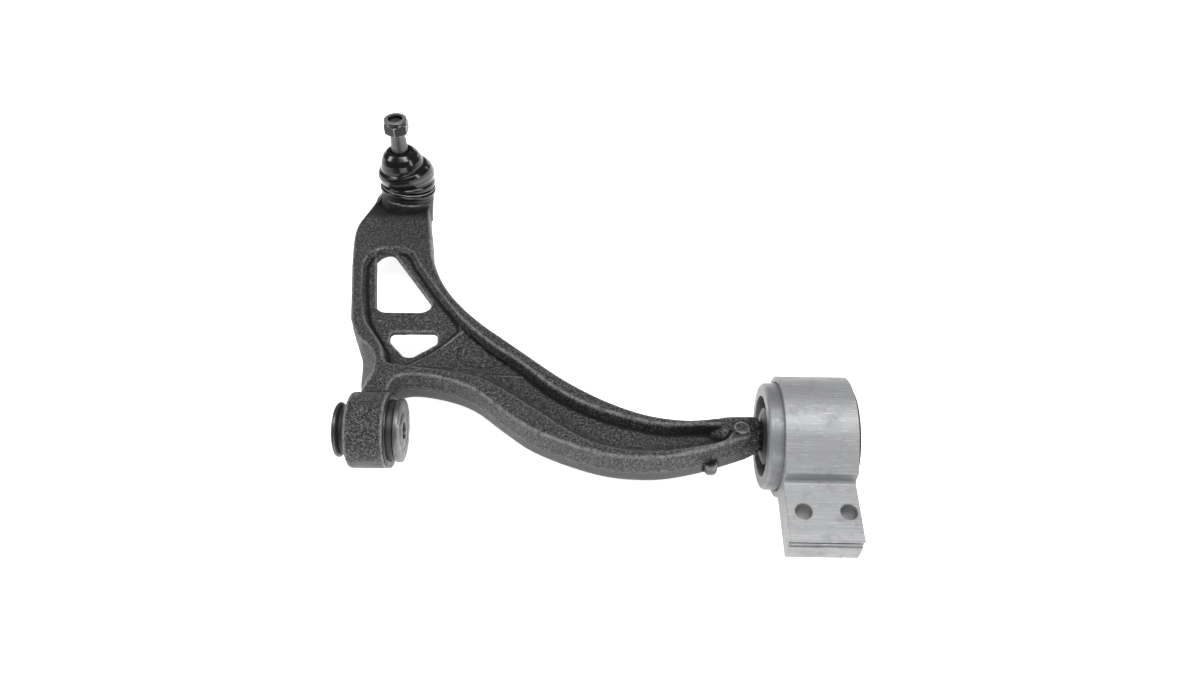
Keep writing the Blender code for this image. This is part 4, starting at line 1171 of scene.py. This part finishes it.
def boot_lean():
    """Axis and angle of the lean from the housing's axis to the stud's, in the housing's frame."""
    own_axis = Vector((0, 0, 1))
    stud_axis = HOUSING_FRAME.to_3x3().inverted() @ (STUD_FRAME.to_3x3() @ own_axis)
    return own_axis.cross(stud_axis).normalized(), own_axis.angle(stud_axis)


def boot_ring(radius, place, steps):
    """A ring of the boot, turned about the ball's centre as far as its place asks."""
    axis, angle = boot_lean()
    turn = Matrix.Rotation(angle * eased(place, LEAN_START, LEAN_END), 3, axis)
    sag = np.interp(place, *zip(*BOOT_SAG))
    own_turn = Matrix.Rotation(-math.radians(sag), 3, "Y")
    centre = Vector((0.0, 0.0, place))
    spokes = round_ring(lambda _: radius, 0.0, steps)
    return [turn @ (centre + own_turn @ Vector(spoke)) for spoke in spokes]


def boot_part(name, profile, look):
    rings = [boot_ring(radius, place, 112) for radius, place in profile]
    piece = new_object(name, loft(rings, closed=True), HOUSING_FRAME, 50.0)
    show(piece, look, None, "boot_rubber", "dust_boot")
    return piece


def dust_boot():
    look = boot_rubber()
    lower = boot_part("boot_bellows", rounded(RINGS_OUTSIDE + RINGS_INSIDE, 4, 2.2), look)
    upper = boot_part("boot_cap", rounded(CAP_OUTSIDE + CAP_INSIDE, 4, 1.6), look)
    seam = boot_ring(SEAM_OUTSIDE, SEAM_PLACE, 4)
    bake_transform(lower)
    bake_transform(upper)

    dark = phosphated_steel("boot_ring_steel", (0.06, 0.06, 0.064), 0.35, HOUSING_FRAME)
    wire = turned(arc((27.0, 18.6), 0.62, 0, 360, 14)[:-1])
    add_piece("boot_ring_lower", wire, HOUSING_FRAME, dark, "arm", "phosphate_steel", "boot_lower_ring")
    inside = STUD_SHOULDER + GAP
    band = rounded([(inside, 57.0), (11.9, 57.0), (11.9, 59.7), (inside, 59.7)], radius=0.4)
    band_fitting = dark, "boot_collar", "phosphate_steel", "boot_upper_ring"
    add_piece("boot_ring_upper", turned(band, steps=MEDIUM), STUD_FRAME, *band_fitting)


# ---- Floor, light and camera ----

CAMERA_PLACE_M = (-0.1792, -0.35216, 0.66715)
CAMERA_PITCH = 38.0  # degrees up from straight down
CAMERA_ROLL = 0.9
LENS = 28.5
SENSOR = 36.0
FLOOR_HALF_M = 6.0
SKY_SEEN, SKY_LIGHT = 1.0, 0.22  # the backdrop's brightness to the eye, and as a light


def camera():
    data = bpy.data.cameras.new("camera")
    data.lens = LENS
    data.sensor_width = SENSOR
    data.clip_start = 0.01
    made = add_object("camera", data)
    pitch = Matrix.Rotation(math.radians(CAMERA_PITCH), 4, "X")
    roll = Matrix.Rotation(math.radians(CAMERA_ROLL), 4, "Z")
    made.matrix_world = Matrix.Translation(CAMERA_PLACE_M) @ pitch @ roll
    bpy.context.scene.camera = made


def floor(height):
    made = bmesh.new()
    bmesh.ops.create_grid(made, x_segments=8, y_segments=8, size=FLOOR_HALF_M)
    bmesh.ops.translate(made, verts=made.verts, vec=(0, 0, height))
    mesh = bpy.data.meshes.new("floor")
    made.to_mesh(mesh)
    made.free()
    glow = {"Emission_Strength": 0.85, "Emission_Color": (1.0, 1.0, 1.0, 1.0)}
    look = Look("floor", (0.93, 0.93, 0.93), 0.9, **glow)
    look.tint(look.noise(300.0, 2.0), (0.95, 0.95, 0.95), 0.5)
    mesh.materials.append(look.material)
    add_object("floor", mesh)


def softbox(name, place, target, size, power):
    data = bpy.data.lights.new(name, "AREA")
    data.shape = "RECTANGLE"
    data.size, data.size_y = size
    data.energy = power
    made = add_object(name, data)
    made.location = place
    made.rotation_euler = (Vector(target) - Vector(place)).to_track_quat("-Z", "Y").to_euler()


def studio(low):
    scene = bpy.context.scene
    scene.world = bpy.data.worlds.new("studio")
    scene.world.use_nodes = True
    tree = scene.world.node_tree
    sky = tree.nodes["Background"]
    sky.inputs["Color"].default_value = (1.0, 1.0, 1.0, 1.0)
    seen = tree.nodes.new("ShaderNodeLightPath")
    strength = tree.nodes.new("ShaderNodeMapRange")
    strength.inputs["To Min"].default_value = SKY_LIGHT
    strength.inputs["To Max"].default_value = SKY_SEEN
    tree.links.new(seen.outputs["Is Camera Ray"], strength.inputs["Value"])
    tree.links.new(strength.outputs["Result"], sky.inputs["Strength"])
    scene.view_settings.view_transform = "Standard"
    middle = (-0.18, 0.18, 0.0)
    softbox("light_top", (-0.1, 0.12, 1.15), (-0.1, 0.1, 0.0), (0.9, 0.35), 13.0)
    softbox("light_front", (0.1, -1.4, 0.4), middle, (1.2, 0.4), 7.0)
    softbox("light_left", (-1.4, 0.3, 1.0), middle, (0.3, 0.8), 8.0)
    softbox("light_right", (0.9, -0.1, 0.9), middle, (0.2, 1.2), 9.0)
    floor(low)


def main():
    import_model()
    cad_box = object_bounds()
    iron = coated_iron()
    rubber = bush_rubber()
    arm_casting(iron)
    front_bush(rubber)
    rear_bracket(extruded_aluminium())
    rear_bush(rubber)
    ball_housing()
    ball_stud()
    stud_nut()
    dust_boot()
    camera()
    studio(cad_box[0][2])


main()
